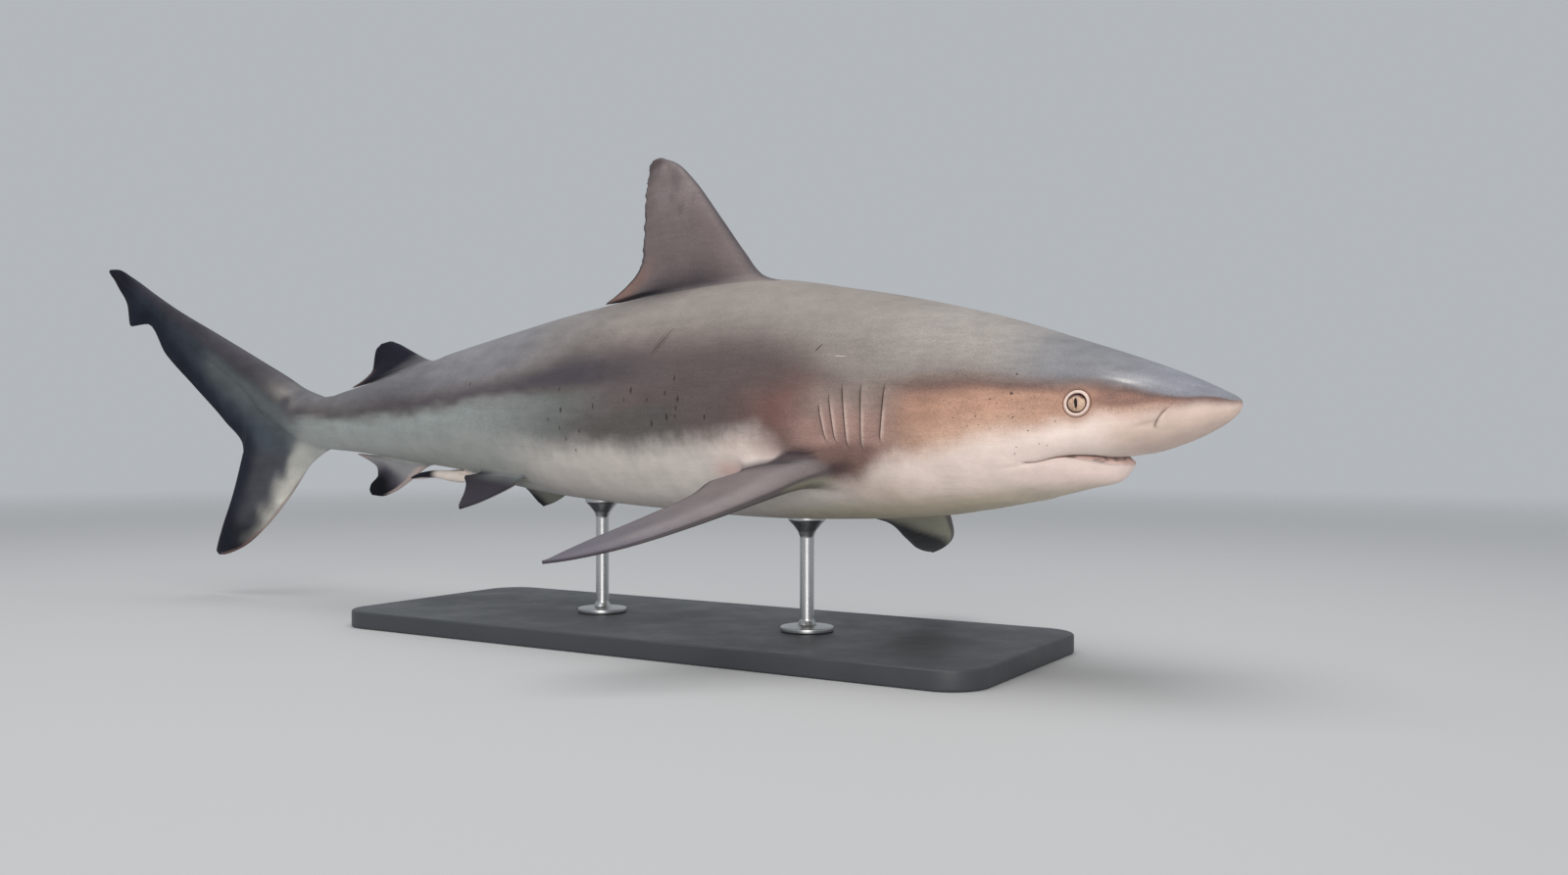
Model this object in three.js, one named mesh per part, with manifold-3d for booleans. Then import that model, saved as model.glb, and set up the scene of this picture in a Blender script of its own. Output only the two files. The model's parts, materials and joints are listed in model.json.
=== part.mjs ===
// A Caribbean reef shark, life size, as a still model on a display stand. Millimetres, +Z up.
//
// The shark is drawn in its own coordinates first: s is the distance behind the tip of the snout, y the
// distance to its left and h the height above its axis, all in percent of the total length. The axis then
// bends into a wide arc, so that the swimming body turns a little to its right.
// World +X points forward from mid-body, +Y to the left, and the stand's base rests on z = 0.
import * as THREE from "three";
import { mergeVertices } from "three/addons/utils/BufferGeometryUtils.js";
import Module from "manifold-3d";

const wasm = await Module();
wasm.setup();

// ---------------------------------------------------------------- driving sizes
const TOTAL_LENGTH = 2000; // tip of the snout to tip of the tail
const PERCENT = TOTAL_LENGTH / 100;
const AXIS_HEIGHT = 300; // the shark's axis above the floor
const BEND_RADIUS = 11460; // of the arc that the axis follows
const STRAIGHT_AT = 50; // the station where the axis points along +X
const GAP = 0.4; // clearance between neighbouring solids

const NOSE = 0.45; // the tip of the snout
const HEAD_END = 17.6; // stations where the body is parted
const GILLS_END = 24.4;
const TRUNK_END = 50;
const STALK_END = 72.6;

// ---------------------------------------------------------------- curves
// A smooth curve through knots [x, value, value ...] that never overshoots them: a monotone cubic.
function monotone(knots, column = 1) {
  const x = knots.map((k) => k[0]);
  const y = knots.map((k) => k[column]);
  const last = x.length - 1;
  const step = x.slice(1).map((v, i) => v - x[i]);
  const rise = step.map((h, i) => (y[i + 1] - y[i]) / h);
  const slope = y.map((_, i) => {
    if (i === 0) return rise[0];
    if (i === last) return rise[last - 1];
    if (rise[i - 1] * rise[i] <= 0) return 0;
    const before = 2 * step[i] + step[i - 1];
    const after = step[i] + 2 * step[i - 1];
    return (before + after) / (before / rise[i - 1] + after / rise[i]);
  });
  return (at) => {
    const v = Math.min(Math.max(at, x[0]), x[last]);
    let i = 0;
    while (i < last - 1 && v >= x[i + 1]) i += 1;
    const t = (v - x[i]) / step[i];
    return (
      y[i] * (1 + 2 * t) * (1 - t) ** 2 +
      slope[i] * step[i] * t * (1 - t) ** 2 +
      y[i + 1] * t * t * (3 - 2 * t) +
      slope[i + 1] * step[i] * t * t * (t - 1)
    );
  };
}

// The same, worked out over the square root of the distance behind the nose, which rounds the nose.
function nosed(knots) {
  const root = (s) => Math.sqrt(Math.max(s - NOSE, 0));
  const f = monotone(knots.map(([s, value]) => [root(s), value]));
  return (s) => f(root(s));
}

const clamp01 = (t) => Math.min(Math.max(t, 0), 1);
const smooth = (t) => clamp01(t) ** 2 * (3 - 2 * clamp01(t));
const mix = (a, b, t) => a + (b - a) * t;

// ---------------------------------------------------------------- the body's outline, in percent of the length
const back = nosed([
  [NOSE, 0.3], [1.2, 0.98], [3.8, 2.12], [8.2, 3.66], [15.4, 5.92], [23.4, 7.66], [31, 8.72],
  [38, 8.35], [45.8, 7.36], [53.3, 5.98], [61, 4.35], [68, 2.75], [72.2, 1.92], [73.8, 1.74],
]);
const belly = nosed([
  [NOSE, 0.3], [1.7, -1.05], [3.8, -1.93], [6.5, -2.65], [8.2, -2.9], [10.5, -3.9], [12.9, -5.1],
  [17.2, -6.06], [23.4, -6.5], [29.2, -6.64], [39.2, -6.26], [47.9, -5.6], [52.3, -5.0],
  [57.6, -3.95], [62, -3.45], [69.4, -2.64], [72.8, -2.42],
]);
const halfWidth = nosed([
  [NOSE, 0], [0.8, 0.78], [1.4, 1.5], [2.5, 2.4], [4.2, 3.45], [7, 4.62], [10, 5.32], [14, 5.92],
  [19, 6.35], [25, 6.6], [32, 6.5], [40, 5.95], [50, 4.65], [58, 3.35], [66, 2.3], [71, 1.75], [74, 1.5],
]);
// Height of the widest line of each cross-section.
const widest = nosed([
  [NOSE, 0.3], [1.2, -0.1], [4, -0.5], [8, -0.85], [11, -0.9], [15, -0.6], [22, -0.2], [32, 0.3],
  [50, 0.2], [65, -0.05], [74, -0.3],
]);
// How square a cross-section is above and below that line: 2 is an ellipse.
const squareAbove = monotone([[0, 2], [4, 2.15], [8, 2.35], [14, 2.25], [22, 2.05], [40, 2], [74, 2]]);
const squareBelow = monotone([[0, 2], [4, 2.5], [9, 2.85], [12, 2.7], [16, 2.3], [30, 2.2], [50, 2.15], [74, 2]]);

// The mouth: an arch under the head, with the lower jaw hanging below it.
const MOUTH_FRONT = 6.45;
const MOUTH_CORNER = 10.4;
const MOUTH_HALF_WIDTH = 5.0;
const JAW_FADES = 15.5; // where the jaw has run out into the throat
const jawDepth = monotone([
  [0, 0], [0.05, 0.44], [0.2, 0.9], [0.55, 1.3], [1.2, 1.52], [2, 1.56], [3, 1.35], [4.2, 1.12],
  [6.4, 0.45], [JAW_FADES - MOUTH_FRONT, 0],
]);
// Half-width of the mouth's arch at station s.
const archHalfWidth = (s) =>
  MOUTH_HALF_WIDTH * Math.sqrt(Math.max(s - MOUTH_FRONT, 0) / (MOUTH_CORNER - MOUTH_FRONT));

// Point (s, y, h) of the skin at station s and angle turn: 0 is the back's ridge, half a turn the belly.
function bodyPoint(s, turn) {
  const c = Math.cos(turn);
  const n = Math.sin(turn);
  const middle = widest(s);
  const square = c >= 0 ? squareAbove(s) : squareBelow(s);
  const reach = c >= 0 ? back(s) - middle : middle - belly(s);
  const y = halfWidth(s) * Math.sign(n) * Math.abs(n) ** (2 / square);
  let h = middle + reach * Math.sign(c) * Math.abs(c) ** (2 / square);
  if (c < 0 && s > MOUTH_FRONT && s < JAW_FADES) {
    const across = Math.abs(y) / Math.max(archHalfWidth(s), 1e-6);
    h -= jawDepth(s - MOUTH_FRONT) * Math.sqrt(Math.max(1 - across ** 2, 0)) * smooth(-2.2 * c);
  }
  return [s, y, h];
}

// Where the mouth's line crosses the ring at an angle turn: the arch below, a level station above.
function mouthStation(turn) {
  const fromBelly = Math.abs(Math.PI - turn);
  let s = MOUTH_FRONT;
  for (let pass = 0; pass < 12; pass += 1) {
    const y = halfWidth(s) * Math.sin(Math.min(fromBelly, Math.PI / 2)) ** (2 / squareBelow(s));
    s = MOUTH_FRONT + (MOUTH_CORNER - MOUTH_FRONT) * Math.min(y / MOUTH_HALF_WIDTH, 1) ** 2;
  }
  return s;
}

// ---------------------------------------------------------------- from the shark's coordinates to the world
function world([s, y, h]) {
  const heading = ((STRAIGHT_AT - s) * PERCENT) / BEND_RADIUS;
  const radius = BEND_RADIUS + y * PERCENT;
  return [radius * Math.sin(heading), radius * Math.cos(heading) - BEND_RADIUS, h * PERCENT + AXIS_HEIGHT];
}

// ---------------------------------------------------------------- closed meshes from rings of points
// Each ring is a list of world points. The first and last rings are closed with a fan.
function ringsGeometry(rings) {
  const count = rings[0].length;
  const centre = (ring) => [0, 1, 2].map((k) => ring.reduce((sum, p) => sum + p[k], 0) / ring.length);
  const points = rings.flat().concat([centre(rings[0]), centre(rings[rings.length - 1])]);
  const first = points.length - 2;
  const faces = [];
  for (let j = 0; j < count; j += 1) {
    const next = (j + 1) % count;
    faces.push([first, next, j]);
    for (let i = 0; i < rings.length - 1; i += 1) {
      const a = i * count;
      const b = a + count;
      faces.push([a + j, a + next, b + j], [a + next, b + next, b + j]);
    }
    const end = (rings.length - 1) * count;
    faces.push([first + 1, end + j, end + next]);
  }
  const geometry = new THREE.BufferGeometry();
  geometry.setAttribute("position", new THREE.Float32BufferAttribute(points.flat(), 3));
  geometry.setIndex(faces.flat());
  return geometry;
}

function solid(geometry) {
  const bare = geometry.clone();
  bare.deleteAttribute("normal");
  bare.deleteAttribute("uv");
  const merged = mergeVertices(bare, 1e-3);
  const made = new wasm.Manifold(
    new wasm.Mesh({
      numProp: 3,
      vertProperties: merged.attributes.position.array,
      triVerts: new Uint32Array(merged.index.array),
    }),
  );
  return made.volume() < 0 ? solid(flipped(merged)) : made;
}

function flipped(geometry) {
  const turned = geometry.clone();
  const index = turned.index.array;
  for (let i = 0; i < index.length; i += 3) [index[i + 1], index[i + 2]] = [index[i + 2], index[i + 1]];
  return turned;
}

function geometryOf(made) {
  const mesh = made.getMesh();
  const geometry = new THREE.BufferGeometry();
  const size = mesh.numProp;
  const xyz = new Float32Array(mesh.numVert * 3);
  for (let i = 0; i < mesh.numVert; i += 1) xyz.set(mesh.vertProperties.subarray(i * size, i * size + 3), i * 3);
  geometry.setAttribute("position", new THREE.BufferAttribute(xyz, 3));
  geometry.setIndex(new THREE.BufferAttribute(mesh.triVerts, 1));
  geometry.computeVertexNormals();
  return geometry;
}

// The largest separate piece of a solid.
const largest = (made) => made.decompose().sort((a, b) => b.volume() - a.volume())[0];

// ---------------------------------------------------------------- the body
const BODY_AROUND = 32; // points round a ring

// Rings of the body lie closest together at the nose and the mouth. The snout's rings bend until they meet
// the mouth's line, the jaw's follow that line and straighten again, and the others are square.
const SNOUT_RINGS = [0.48, 0.65, 1.05, 1.7, 2.6, 3.7, 5];
const JAW_RINGS = [0, 0.06, 0.3, 0.8, 1.6, 2.7];
const SQUARE_RINGS = [
  13.7, 15.6, 17.6, 21, 24.4, 28, 31.5, 35.5, 40, 45, 50, 54, 58, 62, 66, 69.5, 72.6,
];
const ringStations = [
  ...SNOUT_RINGS.map((s) => (turn) => mix(s, (s * mouthStation(turn)) / MOUTH_FRONT, smooth((s - 2) / 4))),
  ...JAW_RINGS.map((d) => (turn) => mix(mouthStation(turn) + d, 9.4 + d * 0.75, smooth((d - 1) / 3))),
  ...SQUARE_RINGS.map((s) => () => s),
];
const turns = Array.from({ length: BODY_AROUND }, (_, j) => (2 * Math.PI * j) / BODY_AROUND);

function bodyRings(grow = 0) {
  return ringStations.map((stationOf) =>
    turns.map((turn) => {
      const p = world(bodyPoint(stationOf(turn), turn));
      return grow ? outward(p, stationOf(turn), turn, grow) : p;
    }),
  );
}

// A skin point moved outwards along the ring's normal.
function outward(p, s, turn, grow) {
  const d = 0.02;
  const a = new THREE.Vector3(...world(bodyPoint(s, turn - d)));
  const b = new THREE.Vector3(...world(bodyPoint(s, turn + d)));
  const along = new THREE.Vector3(...world(bodyPoint(s + 0.3, turn))).sub(
    new THREE.Vector3(...world(bodyPoint(Math.max(s - 0.3, NOSE), turn))),
  );
  const normal = b.sub(a).cross(along).normalize();
  const centre = new THREE.Vector3(...world([s, 0, widest(s)]));
  const from = new THREE.Vector3(...p);
  if (normal.dot(from.clone().sub(centre)) < 0) normal.negate();
  return from.addScaledVector(normal, grow).toArray();
}

// ---------------------------------------------------------------- fins
// An outline is two lists of knots [v, along, out], for its leading and its trailing edge: v runs from
// the root, 0, to the tip, 1; along is measured backwards and out away from the body.
const firstDorsal = {
  lead: [[0, 29.6, -1], [0.05, 31, 0.42], [0.16, 32.3, 1.9], [0.34, 34.2, 4.4], [0.6, 36.5, 7.4],
    [0.8, 37.9, 8.75], [0.92, 38.9, 9.25], [1, 39.7, 9.4]],
  trail: [[0, 41, -1], [0.05, 44.2, 0.12], [0.1, 43.3, 0.62], [0.16, 42.1, 1.3], [0.26, 41, 2.4],
    [0.45, 40.75, 4.6], [0.7, 40.7, 7], [0.9, 40.25, 8.8], [1, 39.7, 9.4]],
  root: 1.5, tip: 0.2,
};
const secondDorsal = {
  lead: [[0, 60.8, -0.6], [0.12, 61.9, 0.45], [0.4, 63.5, 1.5], [0.7, 65, 2.48], [0.9, 65.9, 2.85], [1, 66.7, 2.87]],
  trail: [[0, 65.5, -0.6], [0.12, 70, 0.1], [0.25, 68.8, 0.45], [0.42, 67.7, 1.05], [0.7, 67.5, 2],
    [0.9, 67.3, 2.6], [1, 66.7, 2.87]],
  root: 0.55, tip: 0.14,
};
const anal = {
  lead: [[0, 60.9, -0.6], [0.12, 62, 0.45], [0.4, 63.6, 1.65], [0.7, 65.5, 2.82], [0.9, 67, 3.3], [1, 68.1, 3.35]],
  trail: [[0, 65.6, -0.6], [0.12, 69.4, 0.1], [0.25, 68.5, 0.4], [0.42, 67.2, 1], [0.6, 67.1, 1.6],
    [0.85, 68.1, 2.7], [1, 68.1, 3.35]],
  root: 0.5, tip: 0.14,
};
const pectoral = {
  lead: [[0, 0, -1.2], [0.1, 0.9, 1.6], [0.25, 2, 4], [0.5, 4.1, 7.7], [0.75, 6.8, 11.3], [0.92, 9.4, 13.3], [1, 10.7, 13.9]],
  trail: [[0, 4.8, -1.2], [0.1, 6.7, 1.6], [0.16, 7.2, 2.9], [0.25, 7.1, 4.2], [0.5, 8.2, 7.6],
    [0.75, 9.7, 10.9], [0.92, 10.5, 13.1], [1, 10.7, 13.9]],
  root: 0.95, tip: 0.14,
};
const pelvic = {
  lead: [[0, 0, -1], [0.2, 0.5, 0.5], [0.5, 2.2, 2], [0.8, 4.1, 3.1], [1, 5.1, 3.45]],
  trail: [[0, 4.4, -1], [0.2, 6.9, 0.3], [0.45, 6.2, 1.1], [0.7, 5.7, 2], [0.9, 5.4, 3.1], [1, 5.1, 3.45]],
  root: 0.4, tip: 0.13,
};

const FIN_AROUND = 16; // points round a fin's section
const EDGE = 0.035; // half the thickness left at a fin's edges, in percent

// Half-thickness of a fin's section at u, 0 at its leading and 1 at its trailing edge, for a thickness of 1.
const foil = (u) => 5 * (0.2969 * Math.sqrt(u) - 0.126 * u - 0.3516 * u ** 2 + 0.2843 * u ** 3 - 0.1036 * u ** 4);

// Rings of a fin. place(along, out, thickness) gives the world point.
function finRings(fin, levels, place) {
  const read = (knots) => [monotone(knots, 1), monotone(knots, 2)];
  const [leadAlong, leadOut] = read(fin.lead);
  const [trailAlong, trailOut] = read(fin.trail);
  return levels.map((v) => {
    const thick = fin.root * (1 - v) ** 0.8 + fin.tip;
    return Array.from({ length: FIN_AROUND }, (_, j) => {
      const turn = (2 * Math.PI * j) / FIN_AROUND;
      const u = (1 - Math.cos(turn)) / 2;
      const half = thick * foil(u) + EDGE * Math.sqrt(Math.abs(Math.sin(turn)));
      return place(
        mix(leadAlong(v), trailAlong(v), u),
        mix(leadOut(v), trailOut(v), u),
        half * Math.sign(Math.sin(turn)),
      );
    });
  });
}

const longLevels = [0, 0.05, 0.1, 0.16, 0.24, 0.34, 0.45, 0.57, 0.7, 0.8, 0.88, 0.94, 0.975, 0.992];
const shortLevels = [0, 0.12, 0.2, 0.3, 0.42, 0.55, 0.7, 0.82, 0.92, 0.98];

// A fin on the back stands up from it; one under the belly points down.
const onBack = (s, out, y) => world([s, y, back(s) + out]);
const underBelly = (s, out, y) => world([s, y, belly(s) - out]);

// A paired fin: front and rear are the ends of its root (s, y, h). It spreads out and down by droop
// degrees, swings forward by swing degrees and curls up by curl times the square of the distance out.
// side is 1 for the left, -1 for the right.
function sideFin({ front, rear, droop, swing = 0, curl = 0 }, side) {
  const start = new THREE.Vector3(...front);
  const chord = new THREE.Vector3(...rear).sub(start).normalize();
  const down = THREE.MathUtils.degToRad(droop);
  const span = new THREE.Vector3(0, Math.cos(down), -Math.sin(down));
  const normal = chord.clone().cross(span).normalize();
  return (along, out, thickness) => {
    const angle = THREE.MathUtils.degToRad(swing) * clamp01(out / 4);
    const a = along * Math.cos(angle) - out * Math.sin(angle);
    const b = along * Math.sin(angle) + out * Math.cos(angle);
    const p = start.clone().addScaledVector(chord, a).addScaledVector(span, b).addScaledVector(normal, thickness);
    return world([p.x, side * p.y, p.z + curl * Math.max(b, 0) ** 2]);
  };
}

const pectoralPose = {
  right: { front: [22.3, 4.75, -3.75], rear: [27.3, 5.1, -3.15], droop: 24.6 },
  left: { front: [22.1, 4.77, -2.99], rear: [27.1, 5.07, -3.91], droop: 38.3, swing: 18.5, curl: 0.016 },
};
const pelvicPose = {
  right: { front: [48.8, 2.9, -4.2], rear: [53.2, 2.3, -4.1], droop: 46 },
  left: { front: [48.8, 2.9, -4.2], rear: [53.2, 2.3, -4.1], droop: 51 },
};

// ---------------------------------------------------------------- the tail fin
// Its rings run from a point on the upper margin to one on the lower outline, which goes down the
// lower lobe, up into the fork and back along the upper lobe to its notch and tip.
const tailTop = [
  [0, 73.2, 1.78], [0.14, 75.6, 2.55], [0.24, 77.6, 3.55], [0.38, 81, 5.1], [0.55, 86.3, 7.5],
  [0.72, 91.5, 9.85], [0.8, 94, 11.15], [0.9, 97.2, 12.9], [0.96, 99.2, 13.75], [1, 100.4, 13.8],
];
const tailBottom = [
  [0, 72.6, -2.45], [0.06, 74.6, -3.6], [0.12, 77, -6.2], [0.18, 80.2, -9.1], [0.22, 83.2, -10.95],
  [0.24, 85.6, -11.6], [0.25, 86.3, -11.5], [0.27, 85.2, -9.3], [0.31, 83.9, -6.3], [0.36, 82.8, -3.7],
  [0.4, 82.9, -2.3], [0.48, 85.2, -0.1], [0.6, 89.2, 3.05], [0.7, 92.8, 5.9], [0.77, 95.3, 8.65],
  [0.8, 97.4, 8.5], [0.86, 97.9, 10.5], [0.93, 99.1, 12.1], [1, 100.4, 13.8],
];
const TAIL_AROUND = 18;
const muscleDepth = monotone([[0, 2.13], [0.25, 1.9], [0.5, 1.3], [0.8, 0.8], [1, 0.3]]);
const muscleWidth = monotone([[0, 1.48], [0.15, 1.15], [0.35, 0.8], [0.6, 0.5], [0.85, 0.3], [1, 0.1]]);
const sheetWidth = monotone([[0, 0.5], [0.25, 0.42], [0.4, 0.38], [0.7, 0.25], [1, 0.08]]);

function tailRings(levels) {
  const [topS, topH] = [monotone(tailTop, 1), monotone(tailTop, 2)];
  const [bottomS, bottomH] = [monotone(tailBottom, 1), monotone(tailBottom, 2)];
  return levels.map((v) => {
    const from = [topS(v), topH(v)];
    const to = [bottomS(v), bottomH(v)];
    const length = Math.hypot(to[0] - from[0], to[1] - from[1]);
    return Array.from({ length: TAIL_AROUND }, (_, j) => {
      const turn = (2 * Math.PI * j) / TAIL_AROUND;
      const c = (1 - Math.cos(turn)) / 2;
      const x = Math.min((c * length) / muscleDepth(v) - 1, 1);
      const muscle = muscleWidth(v) * Math.sqrt(Math.max(1 - x * x, 0));
      const sheet = sheetWidth(v) * Math.sqrt(clamp01((c * length) / 1)) * clamp01(((1 - c) * length) / 3) ** 0.6;
      const half = Math.hypot(muscle, sheet) + EDGE * Math.sqrt(Math.abs(Math.sin(turn)));
      return world([mix(from[0], to[0], c), half * Math.sign(Math.sin(turn)), mix(from[1], to[1], c)]);
    });
  });
}
const tailLevels = [
  0, 0.06, 0.12, 0.18, 0.22, 0.24, 0.252, 0.27, 0.3, 0.335, 0.365, 0.4, 0.44, 0.5, 0.6, 0.68, 0.74,
  0.77, 0.785, 0.8, 0.84, 0.9, 0.95, 0.98,
];

// ---------------------------------------------------------------- claspers, eyes
// A clasper: knots [t, station, height, radius] from its root to its tip.
const CLASPER_SIDE = 1.15;
const CLASPER_AROUND = 10;
const clasper = [[0, 52.8, -4.1, 0.5], [0.37, 56.5, -4.36, 0.46], [0.62, 59, -4.27, 0.31], [0.84, 61.4, -4.32, 0.25],
  [0.96, 62.6, -4.4, 0.13], [1, 62.9, -4.43, 0.05]];
function clasperRings(side) {
  const [station, height, radius] = [1, 2, 3].map((column) => monotone(clasper, column));
  return [0, 0.18, 0.37, 0.5, 0.62, 0.75, 0.86, 0.94, 1].map((t) =>
    Array.from({ length: CLASPER_AROUND }, (_, j) => {
      const turn = (2 * Math.PI * j) / CLASPER_AROUND;
      const y = side * CLASPER_SIDE + radius(t) * Math.sin(turn);
      return world([station(t), y, height(t) + radius(t) * Math.cos(turn)]);
    }),
  );
}

const EYE = { s: 7.5, h: 0.26, radius: 14.5, stands: 4.5 };
// Centre of an eyeball, set in from the skin so that it stands out by EYE.stands.
function eyeCentre(side) {
  const level = (EYE.h - widest(EYE.s)) / (back(EYE.s) - widest(EYE.s));
  const y = halfWidth(EYE.s) * (1 - level ** squareAbove(EYE.s)) ** (1 / squareAbove(EYE.s));
  const inward = (EYE.radius - EYE.stands) / PERCENT;
  return world([EYE.s + inward * 0.25, side * (y - inward * 0.96), EYE.h]);
}
function ball(radius, centre, rings = 8) {
  const geometry = new THREE.SphereGeometry(radius, 2 * rings, rings);
  geometry.translate(...centre);
  return geometry;
}

// ---------------------------------------------------------------- the stand
const BASE = { length: 980, width: 360, thick: 24, corner: 50, bevel: 3, station: 37 };
const ROD = { radius: 9, foot: 34, footThick: 7, cup: 24, cupDepth: 30 };
const ROD_STATIONS = { front: 27.5, rear: 44.5 };

function baseGeometry() {
  const [x, y, r] = [BASE.length / 2 - BASE.bevel, BASE.width / 2 - BASE.bevel, BASE.corner];
  const outline = new THREE.Shape();
  outline.moveTo(-x + r, -y);
  outline.lineTo(x - r, -y);
  outline.absarc(x - r, -y + r, r, -Math.PI / 2, 0);
  outline.lineTo(x, y - r);
  outline.absarc(x - r, y - r, r, 0, Math.PI / 2);
  outline.lineTo(-x + r, y);
  outline.absarc(-x + r, y - r, r, Math.PI / 2, Math.PI);
  outline.lineTo(-x, -y + r);
  outline.absarc(-x + r, -y + r, r, Math.PI, 1.5 * Math.PI);
  const geometry = new THREE.ExtrudeGeometry(outline, {
    depth: BASE.thick - 2 * BASE.bevel,
    bevelThickness: BASE.bevel,
    bevelSize: BASE.bevel,
    bevelSegments: 1,
    curveSegments: 6,
  });
  geometry.translate(world([BASE.station, 0, 0])[0], 0, BASE.bevel);
  return geometry;
}

// A rod from the base up into the belly, with a round foot and a cup that the belly rests in.
function rodGeometry(station) {
  const [x, y, top] = world([station, 0, belly(station) + 0.5]);
  const foot = BASE.thick + GAP;
  const profile = [
    [0, foot], [ROD.foot, foot], [ROD.foot, foot + ROD.footThick - 2], [ROD.foot - 2, foot + ROD.footThick],
    [ROD.radius + 4, foot + ROD.footThick], [ROD.radius, foot + ROD.footThick + 4],
    [ROD.radius, top - ROD.cupDepth], [ROD.cup * 0.7, top - ROD.cupDepth * 0.62], [ROD.cup, top - ROD.cupDepth * 0.45],
    [ROD.cup, top], [0, top],
  ].map(([r, z]) => new THREE.Vector2(r, z));
  const geometry = new THREE.LatheGeometry(profile, 18);
  geometry.rotateX(Math.PI / 2);
  geometry.translate(x, y, 0);
  return geometry;
}

// ---------------------------------------------------------------- cutting tools
// A thin slab across the body at a station, square to its axis.
function crossCut(station, thick = GAP) {
  const slab = new THREE.BoxGeometry(thick, 900, 900);
  const [x, y] = world([station, 0, 0]);
  slab.rotateZ(-((STRAIGHT_AT - station) * PERCENT) / BEND_RADIUS);
  slab.translate(x, y, AXIS_HEIGHT);
  return solid(slab);
}

const GILLS = [
  { top: [18.5, 1.7], bottom: [18.7, -2.6] },
  { top: [19.7, 1.75], bottom: [19.75, -3.0] },
  { top: [20.75, 1.75], bottom: [20.6, -2.9] },
  { top: [21.65, 1.2], bottom: [21.4, -2.5] },
  { top: [22.45, 0.6], bottom: [22.1, -2.35] },
];
const SLIT = { width: 1.6, depth: 7 };
// The slot of one gill: a thin curved plate that reaches from outside the skin to just under it.
function gillSlot({ top, bottom }, side) {
  const rings = [0, 0.3, 0.7, 1].map((t) => {
    const s = mix(top[0], bottom[0], t) + 0.35 * Math.sin(Math.PI * t);
    const h = mix(top[1], bottom[1], t);
    const middle = widest(s);
    const level = h >= middle ? (h - middle) / (back(s) - middle) : (middle - h) / (middle - belly(s));
    const square = h >= middle ? squareAbove(s) : squareBelow(s);
    const y = halfWidth(s) * (1 - level ** square) ** (1 / square);
    const half = SLIT.width / 2 / PERCENT;
    const depth = (SLIT.depth / PERCENT) * Math.sin(Math.PI * (0.12 + 0.76 * t));
    return [[-half, 1], [half, 1], [half, -depth], [-half, -depth]].map(([ds, dy]) =>
      world([s + ds, side * (y + dy), h]),
    );
  });
  return solid(ringsGeometry(rings));
}

// ---------------------------------------------------------------- making the solids
const wholeBody = solid(ringsGeometry(bodyRings()));
const grownBody = solid(ringsGeometry(bodyRings(GAP)));
const tailFin = solid(ringsGeometry(tailRings(tailLevels)));

// Halves of the world on each side of a station.
function ahead(station, from) {
  const half = new THREE.BoxGeometry(3000, 1200, 1200);
  half.translate(1500, 0, 0);
  half.rotateZ(-((STRAIGHT_AT - station) * PERCENT) / BEND_RADIUS);
  const [x, y] = world([station, 0, 0]);
  half.translate(x, y, AXIS_HEIGHT);
  return from.intersect(solid(half));
}
function behind(station, from) {
  const half = new THREE.BoxGeometry(3000, 1200, 1200);
  half.translate(-1500 - GAP, 0, 0);
  half.rotateZ(-((STRAIGHT_AT - station) * PERCENT) / BEND_RADIUS);
  const [x, y] = world([station, 0, 0]);
  half.translate(x, y, AXIS_HEIGHT);
  return from.intersect(solid(half));
}

const nodes = [];
const add = (name, made, colour) => nodes.push({ name, geometry: geometryOf(largest(made)), colour });

const GREY = { color: 0x7a716d, roughness: 0.55, metalness: 0 };
const DUSKY = { color: 0x5b5355, roughness: 0.55, metalness: 0 };
const PALE = { color: 0xd9cdc4, roughness: 0.5, metalness: 0 };
const EYE_GLOSS = { color: 0xc9b49a, roughness: 0.1, metalness: 0 };
const STAND_PAINT = { color: 0x2b2d30, roughness: 0.5, metalness: 0 };
const STEEL = { color: 0xb8babd, roughness: 0.3, metalness: 1 };

// Head and lower jaw, parted along the mouth.
const MOUTH_LEVEL = -2.63;
const JAW_END = 11.6;
const mouthPlate = new THREE.BoxGeometry(2000, 1000, 2 * GAP);
mouthPlate.translate(1000 + world([JAW_END, 0, 0])[0], 0, AXIS_HEIGHT + MOUTH_LEVEL * PERCENT);
const jawBlock = new THREE.BoxGeometry(2000, 1000, 600);
jawBlock.translate(1000 + world([JAW_END, 0, 0])[0], 0, AXIS_HEIGHT + MOUTH_LEVEL * PERCENT - 300);
const jawWall = new THREE.BoxGeometry(2 * GAP, 1000, 600);
jawWall.translate(world([JAW_END, 0, 0])[0], 0, AXIS_HEIGHT + MOUTH_LEVEL * PERCENT - 300 + GAP);

let headWhole = ahead(HEAD_END, wholeBody);
for (const side of [1, -1]) {
  const name = side > 0 ? "left" : "right";
  const socket = solid(ball(EYE.radius + GAP, eyeCentre(side)));
  headWhole = headWhole.subtract(socket);
  add(`eye_${name}`, solid(ball(EYE.radius, eyeCentre(side))), EYE_GLOSS);
}
const jawSpace = solid(jawBlock).add(solid(mouthPlate)).add(solid(jawWall));
add("head", headWhole.subtract(jawSpace), GREY);
add("lower_jaw", headWhole.intersect(solid(jawBlock)).subtract(solid(mouthPlate)).subtract(solid(jawWall)), PALE);

// The gill region, with five slits on each side.
let gillRegion = ahead(GILLS_END, behind(HEAD_END, wholeBody));
for (const side of [1, -1]) for (const gill of GILLS) gillRegion = gillRegion.subtract(gillSlot(gill, side));
add("gill_region", gillRegion, GREY);
add("trunk", ahead(TRUNK_END, behind(GILLS_END, wholeBody)), GREY);
add("tail_stalk", behind(TRUNK_END, wholeBody), GREY);

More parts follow.
